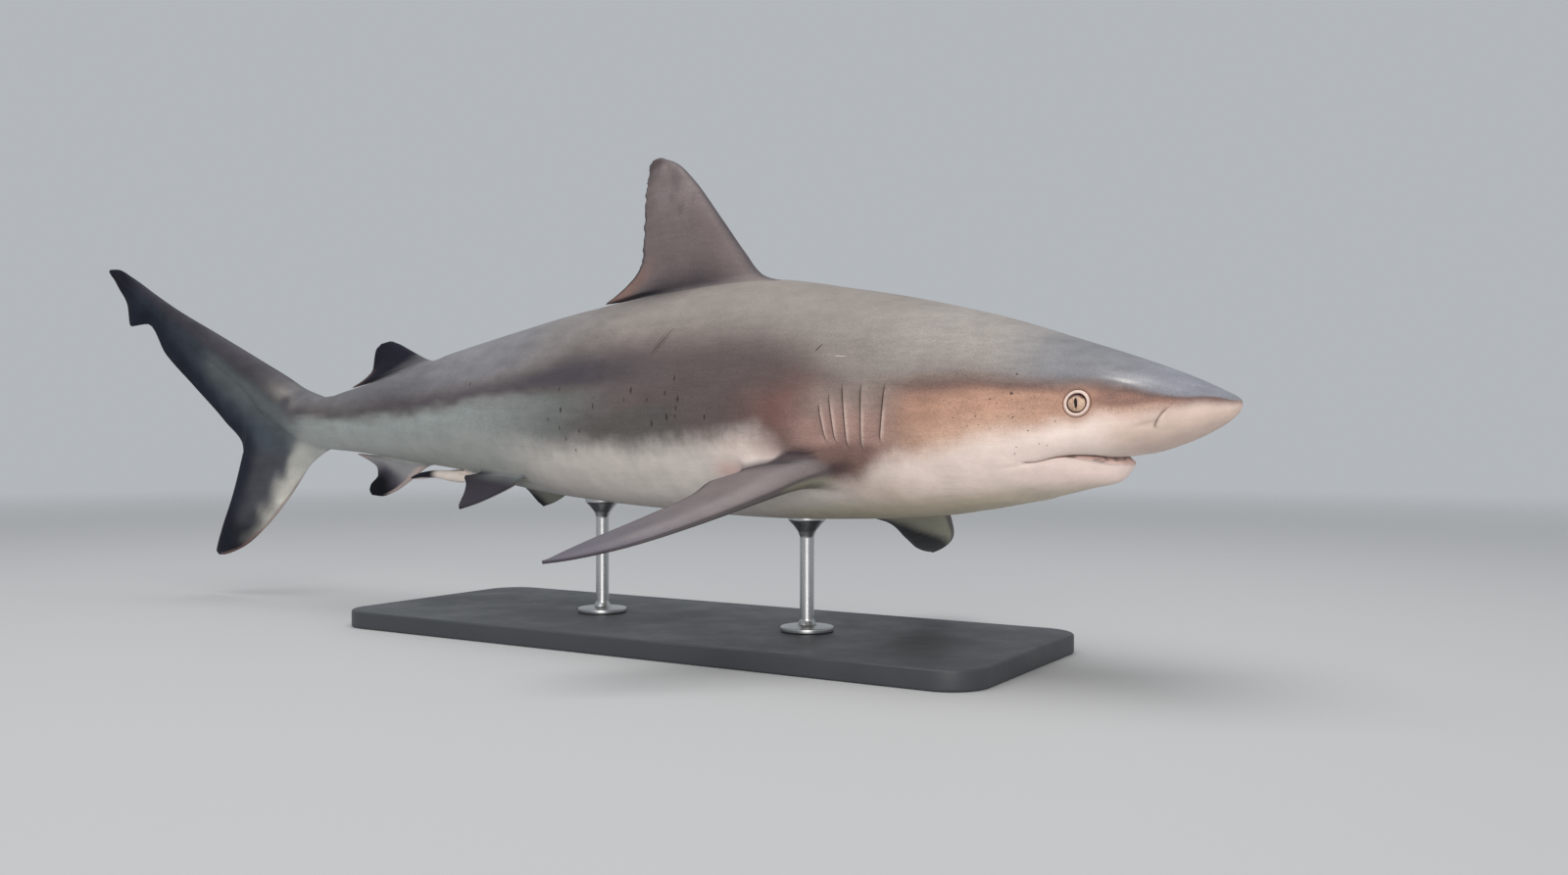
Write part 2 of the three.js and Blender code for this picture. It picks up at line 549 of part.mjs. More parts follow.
// The tail fin starts behind the stalk, and its lobes part along a line from the fork forward.
const stalkCut = crossCut(STALK_END - 0.01, 2 * GAP);
const tailBehind = behind(STALK_END, tailFin).subtract(grownBody).subtract(stalkCut);
const lobeLine = new THREE.BoxGeometry(600, 400, GAP);
lobeLine.rotateY(THREE.MathUtils.degToRad(-8));
lobeLine.translate(...world([78, 0, -2.6]));
const lobes = tailBehind.subtract(solid(lobeLine)).decompose().sort((a, b) => b.volume() - a.volume());
nodes.push({ name: "tail_fin_upper_lobe", geometry: geometryOf(lobes[0]), colour: DUSKY });
nodes.push({ name: "tail_fin_lower_lobe", geometry: geometryOf(lobes[1]), colour: DUSKY });

// Fins on the mid-line.
const fromBody = (geometry) => solid(geometry).subtract(grownBody);
add("first_dorsal_fin", fromBody(ringsGeometry(finRings(firstDorsal, longLevels, onBack))), DUSKY);
add("second_dorsal_fin", fromBody(ringsGeometry(finRings(secondDorsal, shortLevels, onBack))), DUSKY);
add("anal_fin", fromBody(ringsGeometry(finRings(anal, shortLevels, underBelly))), DUSKY);

// Paired fins and claspers.
for (const side of [1, -1]) {
  const name = side > 0 ? "left" : "right";
  const pectoralFin = finRings(pectoral, longLevels, sideFin(pectoralPose[name], side));
  const pelvicFin = finRings(pelvic, shortLevels, sideFin(pelvicPose[name], side));
  add(`pectoral_fin_${name}`, fromBody(ringsGeometry(pectoralFin)), DUSKY);
  add(`pelvic_fin_${name}`, fromBody(ringsGeometry(pelvicFin)), DUSKY);
  add(`clasper_${name}`, fromBody(ringsGeometry(clasperRings(side))), PALE);
}

// The stand.
add("stand_base", solid(baseGeometry()), STAND_PAINT);
for (const [name, station] of Object.entries(ROD_STATIONS))
  add(`stand_rod_${name}`, fromBody(rodGeometry(station)), STEEL);

const shark = new THREE.Group();
for (const { name, geometry, colour } of nodes) {
  const mesh = new THREE.Mesh(geometry, new THREE.MeshStandardMaterial(colour));
  mesh.name = name;
  shark.add(mesh);
}
export default shark;
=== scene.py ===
"""A life-size Caribbean reef shark on a display stand: skin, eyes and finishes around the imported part."""

# %% [markdown]
# # A reef shark, told as one surface
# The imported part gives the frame: every solid of the shark at its real size. Here the flesh gets a single
# skin without seams. It is worked out with numpy as a grid of rows (nose to tail) and columns (round the
# body), because a grid has an exact place for every crease, and colour can be painted by formula on it.

# %% Load the frame
import json

import bmesh
import bpy
import numpy as np
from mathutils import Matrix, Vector

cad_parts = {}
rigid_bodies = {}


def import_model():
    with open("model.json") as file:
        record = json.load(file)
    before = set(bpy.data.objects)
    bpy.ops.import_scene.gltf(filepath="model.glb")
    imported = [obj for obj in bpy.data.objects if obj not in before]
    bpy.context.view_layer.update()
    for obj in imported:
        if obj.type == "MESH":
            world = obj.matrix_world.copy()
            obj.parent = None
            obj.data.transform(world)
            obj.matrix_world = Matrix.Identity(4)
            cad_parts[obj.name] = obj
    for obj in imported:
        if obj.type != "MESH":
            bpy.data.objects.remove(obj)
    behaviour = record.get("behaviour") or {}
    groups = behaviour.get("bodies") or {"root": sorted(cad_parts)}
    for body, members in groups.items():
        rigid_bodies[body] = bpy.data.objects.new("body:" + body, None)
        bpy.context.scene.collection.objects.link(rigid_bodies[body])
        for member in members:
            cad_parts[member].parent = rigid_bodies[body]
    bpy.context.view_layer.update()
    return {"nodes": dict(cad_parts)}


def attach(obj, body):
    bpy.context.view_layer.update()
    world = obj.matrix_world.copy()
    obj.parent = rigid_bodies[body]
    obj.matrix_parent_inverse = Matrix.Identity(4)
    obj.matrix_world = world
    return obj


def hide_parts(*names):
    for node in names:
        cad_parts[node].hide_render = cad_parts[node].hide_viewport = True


for thing in list(bpy.data.objects):
    bpy.data.objects.remove(thing)
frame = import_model()

# %% [markdown]
# ## The shark's own coordinates
# A naturalist measures a shark in percent of its total length: the station `s` behind a plumb line at the
# snout, the distance `y` to its left, and the height `h` above its axis. The same measures drive the solids,
# so the skin can't drift away from them. The axis is then bent into a wide arc, for a body in mid-turn.

# %% Driving sizes, in metres and in percent of the length
TOTAL_LENGTH = 2.0
PERCENT = TOTAL_LENGTH / 100
AXIS_HEIGHT = 0.300
BEND_RADIUS = 11.46
STRAIGHT_AT = 50
NOSE, NOSE_HEIGHT = 0.28, 0.3
STALK_END = 72.0


def world(s, y, h):
    """Station, left and height to metres: the station runs along an arc, and y is added to its radius."""
    heading = (STRAIGHT_AT - s) * PERCENT / BEND_RADIUS
    radius = BEND_RADIUS + y * PERCENT
    up = h * PERCENT + AXIS_HEIGHT + 0 * s
    return np.stack([radius * np.sin(heading), radius * np.cos(heading) - BEND_RADIUS, up], axis=-1)


def in_metres(places):
    """The same for one array whose last axis is station, left and height."""
    return world(*np.moveaxis(np.asarray(places, float), -1, 0))


print("the snout's tip lies at", in_metres([NOSE, 0, NOSE_HEIGHT]).round(4))


# %% Curves through a few knots
def monotone(knots, column=1):
    """A cubic that never overshoots its knots: an inner slope is the harmonic mean of its two chords."""
    k = np.asarray(knots, float)
    x, v = k[:, 0], k[:, column]
    step = np.diff(x)
    rise = np.diff(v) / step
    left, right = 2 * step[1:] + step[:-1], step[1:] + 2 * step[:-1]
    with np.errstate(divide="ignore", invalid="ignore"):
        inner = (left + right) / (left / rise[:-1] + right / rise[1:])
    inner = np.where(rise[:-1] * rise[1:] > 0, inner, 0.0)
    slope = np.concatenate([rise[:1], inner, rise[-1:]])

    def at(a):
        a = np.clip(np.asarray(a, float), x[0], x[-1])
        i = np.clip(np.searchsorted(x, a, side="right") - 1, 0, len(x) - 2)
        t = (a - x[i]) / step[i]
        return (v[i] * (1 + 2 * t) * (1 - t) ** 2 + slope[i] * step[i] * t * (1 - t) ** 2
                + v[i + 1] * t * t * (3 - 2 * t) + slope[i + 1] * step[i] * t * t * (t - 1))

    return at


def columns_at(knots, v):
    """Every column of the knots but the first, each as a smooth curve over the first, at v."""
    return [monotone(knots, k)(v) for k in range(1, len(knots[0]))]


def nosed(knots):
    """A curve over the square root of the distance behind the snout's tip, which rounds the nose."""
    f = monotone([(np.sqrt(max(s - NOSE, 0)), v) for s, v in knots])
    return lambda s: f(np.sqrt(np.maximum(s - NOSE, 0)))


def clamp(t):
    return np.clip(t, 0.0, 1.0)


def smooth(t):
    """0 below 0, 1 above 1, and level at both ends."""
    t = clamp(t)
    return t * t * (3 - 2 * t)


def after(x, start, width):
    """0 up to start, then up to 1 over the width."""
    return smooth((x - start) / width)


def until(x, end, width):
    """1 up to a width before the end, then down to 0 at the end."""
    return smooth((end - x) / width)


def mix(a, b, t):
    return a + (b - a) * t


def bell(x, width):
    """1 at x = 0, falling away on both sides over about that width."""
    return np.exp(-((x / width) ** 2))


print("half way up a smooth step", smooth(0.5), "and one width from a bell's middle", bell(1, 1).round(3))

# %% [markdown]
# ## The body's form
# A requiem shark is a spindle: a flat, rounded snout, the deepest point under the dorsal fin, a slim stalk
# before the tail. Four profiles along the body and a cross-section between an ellipse and a rounded square
# say all of it. Lofting by hand between a dozen drawn sections would do too, but wobbles between them.

# %% Profiles of the body
back = nosed([
    (NOSE, 0.3), (1.2, 0.98), (3.8, 2.12), (8.2, 3.66), (15.4, 5.92), (23.4, 7.66), (31, 8.72),
    (38, 8.35), (45.8, 7.36), (53.3, 5.98), (61, 4.35), (68, 2.75), (72.2, 1.92), (73.8, 1.74)])
belly = nosed([
    (NOSE, 0.3), (1.7, -1.05), (3.8, -1.93), (6.5, -2.65), (8.2, -2.9), (10.5, -3.9), (12.9, -5.1),
    (17.2, -6.06), (23.4, -6.5), (29.2, -6.64), (39.2, -6.26), (47.9, -5.6), (52.3, -5.0),
    (57.6, -3.95), (62, -3.45), (69.4, -2.64), (72.8, -2.42)])
half_width = nosed([
    (NOSE, 0), (0.8, 0.78), (1.4, 1.5), (2.5, 2.4), (4.2, 3.45), (7, 4.62), (10, 5.32), (14, 5.92),
    (19, 6.35), (25, 6.6), (32, 6.5), (40, 5.95), (50, 4.65), (58, 3.35), (66, 2.3), (71, 1.75), (74, 1.5)])
widest = nosed([
    (NOSE, 0.3), (1.2, -0.1), (4, -0.5), (8, -0.85), (11, -0.9), (15, -0.6), (22, -0.2), (32, 0.3),
    (50, 0.2), (65, -0.05), (74, -0.3)])
square_above = monotone([(0, 2), (4, 2.15), (8, 2.35), (14, 2.25), (22, 2.05), (40, 2), (74, 2)])
square_below = monotone([
    (0, 2), (4, 2.5), (9, 2.85), (12, 2.7), (16, 2.3), (30, 2.2), (50, 2.15), (74, 2)])

MOUTH_FRONT, MOUTH_CORNER, MOUTH_HALF_WIDTH, JAW_FADES = 6.3, 10.5, 4.8, 15.5
jaw_depth = monotone([
    (0, 0), (0.03, 0.42), (0.1, 0.82), (0.25, 1.03), (0.55, 1.26), (1.2, 1.38), (2, 1.36), (3, 1.2),
    (4.2, 0.85), (6.4, 0.2), (JAW_FADES - MOUTH_FRONT, 0)])
print("at station 31 the body is", round(float(back(31) - belly(31)), 2), "deep and",
      round(float(2 * half_width(31)), 2), "wide")


# %% The cross-section
def section(s, above):
    """The widest line's height, the squareness, and the reach from there to the back or down to the belly."""
    middle = widest(s)
    square = np.where(above, square_above(s), square_below(s))
    return middle, square, np.where(above, back(s) - middle, middle - belly(s))


def body_point(s, turn):
    """(y, h) of the skin at station s and angle turn, 0 at the back's ridge and half a turn at the belly.

    y is the half width times sine to the power 2 / squareness; h runs likewise with the cosine from the
    widest line up to the back or down to the belly. The lower jaw hangs inside the mouth's arch."""
    c, n = np.cos(turn), np.sin(turn)
    middle, square, reach = section(s, c >= 0)
    power = 2 / square
    y = half_width(s) * np.sign(n) * np.abs(n) ** power
    h = middle + reach * np.sign(c) * np.abs(c) ** power
    arch = MOUTH_HALF_WIDTH * np.sqrt(np.maximum(s - MOUTH_FRONT, 0) / (MOUTH_CORNER - MOUTH_FRONT))
    across = np.abs(y) / np.maximum(arch, 1e-6)
    hang = jaw_depth(s - MOUTH_FRONT) * np.sqrt(np.maximum(1 - across**2, 0)) * smooth(-2.2 * c)
    return y, h - np.where((s > MOUTH_FRONT) & (s < JAW_FADES), hang, 0)


def outside(s, y, h):
    """Above 0 outside the plain body, below 0 inside: the cross-section's own equation."""
    middle, square, reach = section(s, h >= widest(s))
    return (np.abs(y) / half_width(s)) ** square + (np.abs(h - middle) / reach) ** square - 1


def side_of(s, h):
    """y of the left flank at station s and height h."""
    middle, square, reach = section(s, h >= widest(s))
    return half_width(s) * (1 - clamp(np.abs(h - middle) / reach) ** square) ** (1 / square)


print("the flank at station 31 and height 4 lies at", side_of(np.array(31.0), np.array(4.0)).round(2))

# %% [markdown]
# ## Rows and columns of the skin
# The columns are even angles. The rows stand closer where there is more to show: at the nostrils, eyes, mouth
# and gills. They also bend, so that one row runs exactly along the mouth's line and one along each gill slit.
# A crease that follows a row is sharp with few faces, while one that crosses rows at a slant looks torn.

# %% Columns, and the mouth's line round them
COLUMNS = 176
turn = 2 * np.pi * np.arange(COLUMNS) / COLUMNS
from_belly = np.abs(np.pi - turn)
mouth_station = np.full(COLUMNS, MOUTH_FRONT)
for _ in range(14):
    power = 2 / square_below(mouth_station)
    lateral = half_width(mouth_station) * np.sin(np.minimum(from_belly, np.pi / 2)) ** power
    share = np.minimum(lateral / MOUTH_HALF_WIDTH, 1)
    mouth_station = MOUTH_FRONT + (MOUTH_CORNER - MOUTH_FRONT) * share**2
print("the mouth's line runs from station", mouth_station.min(), "to", mouth_station.max())


# %% Rows of the snout, the mouth and the jaw
def even(start, stop, step):
    """Stations from start up to but not including stop, about step apart."""
    return np.linspace(start, stop, max(int(round((stop - start) / step)), 1), endpoint=False)


def snout_rows(r):
    """Square at the nose, and bent more and more until the last one is the mouth's line."""
    return r * (1 + (mouth_station / MOUTH_FRONT - 1) * smooth((r - 2) / 4))


def jaw_rows(d):
    """d behind the mouth's line: the last of them stands straight at JAW_END, and none overtakes another."""
    return mouth_station + d + (JAW_END - mouth_station - jaw[-1]) * smooth(d / jaw[-1])


JAW_END = 12.3
LIP_STEPS = np.array([-0.2, -0.13, -0.08, -0.045, -0.022, -0.01])
jaw = np.array([
    0, 0.004, 0.009, 0.016, 0.024, 0.032, 0.042, 0.054, 0.07, 0.09, 0.12, 0.16, 0.21, 0.27, 0.34, 0.42,
    0.52, 0.64, 0.78, 0.94, 1.12, 1.32, 1.54, 1.8, 2.1, 2.4, 2.75, 3.1, 3.45, 3.8])
print("jaw rows", len(jaw))

# %% Rows of the gills and the trunk
GILL_ROWS = np.array([18.4, 19.72, 20.78, 21.62, 22.34])
gill_steps = np.array([-0.4, -0.28, -0.18, -0.1, -0.05, -0.02, 0.0, 0.025, 0.06, 0.11, 0.18, 0.28])
gills = np.sort((GILL_ROWS[:, None] + gill_steps[None, :]).ravel())
gills = gills[np.concatenate([[True], np.diff(gills) > 0.018])]
trunk_runs = [(22.75, 28.2, 0.26), (28.2, 42.2, 0.45), (42.2, 48.2, 0.5), (48.2, 56.8, 0.3),
              (56.8, 60.1, 0.42), (60.1, 66.4, 0.29), (66.4, STALK_END, 0.42)]
straight = np.concatenate([even(12.45, 17.85, 0.27), gills] + [even(*run) for run in trunk_runs])


def gill_bend(r):
    """The gill rows lean with the slits: the first back, the last forward, over the slits' own height."""
    _, h = body_point(r, turn)
    down = clamp((1.5 - h) / 3.8)
    lean = mix(0.36, -0.82, clamp((r - GILL_ROWS[0]) / (GILL_ROWS[-1] - GILL_ROWS[0])))
    part = after(r, 16.6, 1.6) * until(r, 24.6, 1.8)
    return r + part * (lean * (down - 0.5) - 0.07 * np.sin(np.pi * down))


print("gill rows", len(gills), "of", len(straight), "behind the jaw")

# %% Rows of the nostrils, and all rows of the body
NOSTRIL_STATION, NOSTRIL_COLUMN = 3.5, 45
trial = np.linspace(2, 4, 200)
NOSTRIL_ROW = np.interp(NOSTRIL_STATION, snout_rows(trial[:, None])[:, NOSTRIL_COLUMN], trial)
print("the nostrils lie on row", round(float(NOSTRIL_ROW), 3))
snout = np.concatenate([
    NOSE + 0.02 + (NOSTRIL_ROW - 0.62) * np.linspace(0, 1, 27, endpoint=False) ** 1.6,
    NOSTRIL_ROW + np.array([-0.15, -0.1, -0.06, -0.03, 0.0, 0.03, 0.06, 0.1]),
    even(NOSTRIL_ROW + 0.15, 6.05, 0.082), MOUTH_FRONT + LIP_STEPS])
nostril_lean = monotone([
    (-1.6, 0.36), (-1.03, 0.3), (-0.57, 0.13), (-0.22, -0.08), (0.03, -0.31), (0.2, -0.5), (0.6, -0.6)])


def nostril_bend(r):
    """The rows about the nostril follow its curve: up and forward at its top, straight down below."""
    _, h = body_point(r, turn)
    return r + nostril_lean(h) * bell(r - NOSTRIL_STATION, 1.1) * smooth((1.9 - np.abs(h + 0.3)) / 0.9)


station = np.concatenate([
    nostril_bend(snout_rows(snout[:, None])), jaw_rows(jaw[:, None]), gill_bend(straight[:, None])])
row_key = np.concatenate([snout, MOUTH_FRONT + jaw, straight])[:, None]
body_y, body_h = body_point(station, turn)
BODY_ROWS = len(station)
print("body rows", BODY_ROWS, "closest rows", round(float(np.diff(station, axis=0).min()), 4))

# %% [markdown]
# ## The tail fin
# The tail grows out of the same rings. Each row is a straight chord from the upper margin down to the lower
# outline, which runs down the lower lobe, up into the fork and along the upper lobe past its notch. The
# backbone's muscle lies thick along the upper margin, and the rest is a thin stiff sheet.

# %% The tail fin's rows
tail_top = [
    (0, 73.2, 1.78), (0.14, 75.6, 2.55), (0.24, 77.6, 3.55), (0.38, 81, 5.1), (0.55, 86.3, 7.5),
    (0.72, 91.5, 9.85), (0.8, 94, 11.15), (0.9, 97.2, 12.9), (0.96, 99.2, 13.75), (1, 100.4, 13.8)]
tail_bottom = [
    (0, 72.6, -2.45), (0.06, 74.6, -3.6), (0.12, 77, -6.2), (0.18, 80.2, -9.1), (0.22, 83.2, -10.95),
    (0.24, 85.6, -11.6), (0.25, 86.3, -11.5), (0.27, 85.2, -9.3), (0.31, 83.9, -6.3), (0.36, 82.8, -3.7),
    (0.4, 82.9, -2.3), (0.48, 85.2, -0.1), (0.6, 89.2, 3.05), (0.7, 92.8, 5.9), (0.77, 95.3, 8.65),
    (0.8, 97.4, 8.5), (0.86, 97.9, 10.5), (0.93, 99.1, 12.1), (1, 100.4, 13.8)]
TAIL_ROWS = 96
EDGE = 0.035
muscle_depth = monotone([(0, 2.13), (0.25, 1.9), (0.5, 1.3), (0.8, 0.8), (1, 0.3)])
muscle_width = monotone([(0, 1.48), (0.15, 1.15), (0.35, 0.8), (0.6, 0.5), (0.85, 0.3), (1, 0.1)])
sheet_width = monotone([(0, 0.5), (0.25, 0.42), (0.4, 0.38), (0.7, 0.25), (1, 0.08)])


def tail_point(v, turn):
    """(s, y, h) on the chord of row v; half its thickness squared is muscle squared plus sheet squared."""
    top, low = columns_at(tail_top, v), columns_at(tail_bottom, v)
    length = np.hypot(low[0] - top[0], low[1] - top[1])
    c = (1 - np.cos(turn)) / 2
    x = np.minimum(c * length / muscle_depth(v) - 1, 1)
    muscle = muscle_width(v) * np.sqrt(np.maximum(1 - x * x, 0))
    sheet = sheet_width(v) * np.sqrt(clamp(c * length)) * clamp((1 - c) * length / 3) ** 0.6
    half = np.hypot(muscle, sheet) + EDGE * np.sqrt(np.abs(np.sin(turn)))
    return mix(top[0], low[0], c), half * np.sign(np.sin(turn)), mix(top[1], low[1], c)


# The rows are spaced evenly along the lower outline and the upper margin together.
fine = np.linspace(0, 0.99, 2000)
path = sum(np.hypot(*np.gradient(columns_at(knots, fine), axis=1)) for knots in (tail_top, tail_bottom))
tail_v = np.interp(np.linspace(0, 1, TAIL_ROWS), np.cumsum(path) / path.sum(), fine)
tail_s, tail_y, tail_h = tail_point(tail_v[:, None], turn)
print("tail rows", TAIL_ROWS, "the tail ends at station", tail_s.max().round(2))

# %% All rows of the skin
grid_s = np.concatenate([station, tail_s])
grid_y = np.concatenate([body_y, tail_y])
grid_h = np.concatenate([body_h, tail_h])
ROWS = len(grid_s)
grid = world(grid_s, grid_y, grid_h)
print("grid", ROWS, "by", COLUMNS)

# %% [markdown]
# ## Creases and ridges
# Mouth, gill slits, nostrils and the small ridge between the dorsal fins are pressed into the surface or
# raised from it along its own normal. Each is a short formula of where a point lies.

# %% Normals of the grid
along_grid = np.gradient(grid, axis=0)
round_grid = np.roll(grid, -1, axis=1) - np.roll(grid, 1, axis=1)
normal = np.cross(round_grid, along_grid)
normal /= np.maximum(np.linalg.norm(normal, axis=2, keepdims=True), 1e-12)
from_axis = grid - grid.mean(axis=1, keepdims=True)
normal *= np.sign(np.sum(normal * from_axis, axis=2).mean())
raise_by = np.zeros((BODY_ROWS, COLUMNS))  # in percent of the length, outwards
print("normals", normal.shape)

# %% The mouth's slit, lips and gum
behind_lip = station - mouth_station
lip_run = clamp(1 - (mouth_station[None, :] - MOUTH_FRONT) / (MOUTH_CORNER - MOUTH_FRONT))  # 0 at the corner
below = until(from_belly[None, :], 1.25, 0.12)  # 1 under the head
corner = smooth(lip_run / 0.04) * below
in_gape = (behind_lip > 0.003) * corner
slit = -0.24 * bell(behind_lip + 0.002, 0.008) * corner
gum_end = mix(0.045, 0.022, after(lip_run, 0.5, 0.5)) * after(lip_run, 0.25, 0.4)
gum_rise = smooth((gum_end - behind_lip) / 0.008) * in_gape
lower_lip = 0.03 * bell(behind_lip - gum_end - 0.02, 0.035) * corner * (1 - after(lip_run, 0.75, 0.2))
front_depth = jaw_depth(np.maximum(behind_lip, 0))
lower_lip = lower_lip + 0.13 * bell(front_depth - 0.5, 0.36) * corner * after(lip_run, 0.6, 0.35)
raise_by += slit - 0.05 * gum_rise + lower_lip
lip_lift = monotone([(0, -0.02), (0.15, 0.05), (0.4, 0.22), (0.7, 0.24), (0.9, 0.14), (1, 0.1)])(lip_run)
lip_lift = lip_lift * bell(np.minimum(behind_lip, 0), 1.1) * bell(np.maximum(behind_lip, 0), 1.3) * below
lip_fold = bell(body_h + 2.92 + 0.17 * (station - 10.4), 0.09)
lip_fold *= after(station, 10.0, 0.4) * until(station, 12.0, 1.4)
raise_by -= 0.1 * lip_fold
lip_drop = body_h[len(snout)] - body_h
gum_tall = monotone([(0, 0), (0.4, 0), (0.5, 0.12), (0.69, 0.3), (0.88, 0.42), (1, 0.45)])(lip_run)
in_mouth = in_gape * (behind_lip < 2)
gum_shows = smooth((gum_tall - lip_drop) / 0.06) * in_mouth
# Painted shadow: a dark line along the gum's top edge, under the lip.
gum_shadow_line = bell(lip_drop - gum_tall, 0.035) * in_mouth * after(lip_run, 0.42, 0.1)
print("the lip is lifted by up to", lip_lift.max().round(3))

# %% Five gill slits on each side
gill_top = np.array([1.42, 1.5, 1.5, 1.0, 0.45])
gill_bottom = np.array([-1.85, -2.25, -2.15, -1.85, -1.75])
# Painted shade fills each slit and fades behind it; a painted highlight lies along each flap's edge just
# before the next slit.
gill_shade = np.zeros((BODY_ROWS, COLUMNS))
gill_rim_highlight = np.zeros((BODY_ROWS, COLUMNS))
for r, top, bottom in zip(GILL_ROWS, gill_top, gill_bottom):
    inside = after(body_h, bottom, 0.5) * until(body_h, top, 0.5) * (row_key > 17)
    x = row_key - r
    flap = 0.2 * np.exp(x / 0.3) * (x <= 0) - 0.1 * (x > 0) * np.exp(-x / 0.4)
    raise_by += (flap - 0.25 * bell(x - 0.03, 0.055)) * inside
    shadow = bell(x - 0.03, 0.058) + 0.36 * (x > 0.025) * np.exp(-x / 0.45)
    gill_shade = np.maximum(gill_shade, shadow * inside)
    gill_rim_highlight = np.maximum(gill_rim_highlight, (x < 0.0) * bell(x + 0.1, 0.09) * inside)
print("the slits take up", (100 * (gill_shade > 0.5).mean()).round(2), "percent of the body's points")

# %% Nostrils: a curved slit with a small flap, on each side under the snout
nostril_x = row_key - NOSTRIL_ROW
nostril_in = after(body_h, -1.15, 0.25) * until(body_h, 0.12, 0.25) * (np.abs(body_y) > 1.2) * (row_key < 5)
raise_by += nostril_in * (-0.14 * bell(nostril_x, 0.028) + 0.05 * bell(nostril_x + 0.13, 0.1)
                          - 0.05 * smooth(nostril_x / 0.05) * bell(nostril_x, 0.5))
nostril_shade = 0.62 * nostril_in * bell(nostril_x, 0.022)
nose_fold = bell(body_h + 0.62 + 0.3 * (station - 3.6), 0.12)
nose_fold *= after(station, 3.55, 0.2) * until(station, 5.1, 1.0)
raise_by -= 0.05 * nose_fold
print("the nostrils are pressed in by", (-raise_by[nostril_in > 0.5].min()).round(3))

# %% The brow over the eye, the swelling over the pectoral fin, the back's ridge and the pit before the tail
on_top = np.cos(turn) > 0
raise_by += 0.25 * bell(station - 24.3, 1.9) * bell(body_h + 3.0, 0.7)
brow = 0.10 * bell(body_h - 1.35 - 0.02 * (station - 6), 0.3)
raise_by += brow * after(station, 3.4, 1.5) * until(station, 9.6, 2.4)
raise_by += 0.14 * bell(body_y, 0.28) * on_top * after(station, 43, 3) * until(station, 61, 1.5)
raise_by -= 0.12 * bell(station - 71.6, 0.5) * bell(body_y, 0.6) * on_top
grid[:BODY_ROWS] += normal[:BODY_ROWS] * (raise_by * PERCENT)[..., None]
grid[:BODY_ROWS, :, 2] += lip_lift * PERCENT
grid_h[:BODY_ROWS] += lip_lift
grid_place = np.stack([grid_s, grid_y, grid_h], axis=-1)
# Painted shade: how far the shader darkens the mouth's slit, the nostrils, the gill slits, the folds by lip
# and nose, and the gum's edge under the lip.
crease_shade = clamp(1.1 * gill_shade + 1.2 * nostril_shade + 3.6 * np.maximum(-slit, 0) + 0.2 * lip_fold
               + 0.16 * nose_fold + 0.3 * gum_shadow_line)
gum_zone = np.maximum(gum_rise, gum_shows)
print("raised by", raise_by.max().round(3), "and pressed in by", raise_by.min().round(3), "percent")

# %% [markdown]
# ## Grafting fins, claspers and eyes
# A fin could be pushed through the body, but the joint then shows as a hard line. Instead a rectangle of
# cells is cut out of the grid, and rings run from its rim over a rounded fillet up the fin, one ring point
# for each rim point. The eye's lids and socket are grafted in the same way, with rings that shrink inwards.

# %% Graft helpers
skin_points = [grid.reshape(-1, 3)]
skin_place = [grid_place.reshape(-1, 3)]
skin_quads, skin_tris = [], []
part_of = [np.zeros(ROWS * COLUMNS)]  # 0 body and tail, then one number for each graft
fin_place = [np.zeros((ROWS * COLUMNS, 3))]  # chord 0 to 1, root to tip 0 to 1, and upper 1 or lower -1 face
open_cell = np.ones((ROWS - 1, COLUMNS), bool)
LEFT, RIGHT = 1, -1


def rows_between(first, last, column):
    """First and last grid row whose station, in that column, lies about first and last."""
    s = station[:, column % COLUMNS]
    return [int(np.argmin(np.abs(s - wanted))) for wanted in (first, last)]


def columns_between(first, last, side):
    """First and last column of a block on the left, or of its mirror image on the right."""
    return (first, last) if side == LEFT else (COLUMNS - last, COLUMNS - first)


def rim_of(block):
    """Grid indices round a block (first row, last row, first column, last column), counter to the clock."""
    i0, i1, j0, j1 = block
    rows = [np.full(j1 - j0, i0), np.arange(i0, i1), np.full(j1 - j0, i1), np.arange(i1, i0, -1)]
    cols = [np.arange(j0, j1), np.full(i1 - i0, j1), np.arange(j1, j0, -1), np.full(i1 - i0, j0)]
    return np.concatenate(rows), np.concatenate(cols) % COLUMNS


def stitch(block, rings, places, number, uv):
    """Cuts the block open, joins rings (n, k, 3) of metres to its rim and closes the last one."""
    i0, i1, j0, j1 = block
    open_cell[i0:i1, np.arange(j0, j1) % COLUMNS] = False
    rows, cols = rim_of(block)
    n, k = rings.shape[:2]
    start = sum(len(p) for p in skin_points)
    ids = np.vstack([rows * COLUMNS + cols, start + np.arange(n * k).reshape(n, k)])
    a, b = ids[:-1], ids[1:]
    skin_quads.append(np.stack([a, np.roll(a, -1, 1), np.roll(b, -1, 1), b], axis=-1).reshape(-1, 4))
    skin_tris.append(np.stack([ids[-1], np.roll(ids[-1], -1), np.full(k, start + n * k)], axis=-1))
    skin_points.extend([rings.reshape(-1, 3), rings[-1].mean(axis=0, keepdims=True)])
    skin_place.extend([places.reshape(-1, 3), places[-1].mean(axis=0, keepdims=True)])
    fin_place.extend([uv.reshape(-1, 3), uv[-1, -1:]])
    part_of.append(np.full(n * k + 1, float(number)))


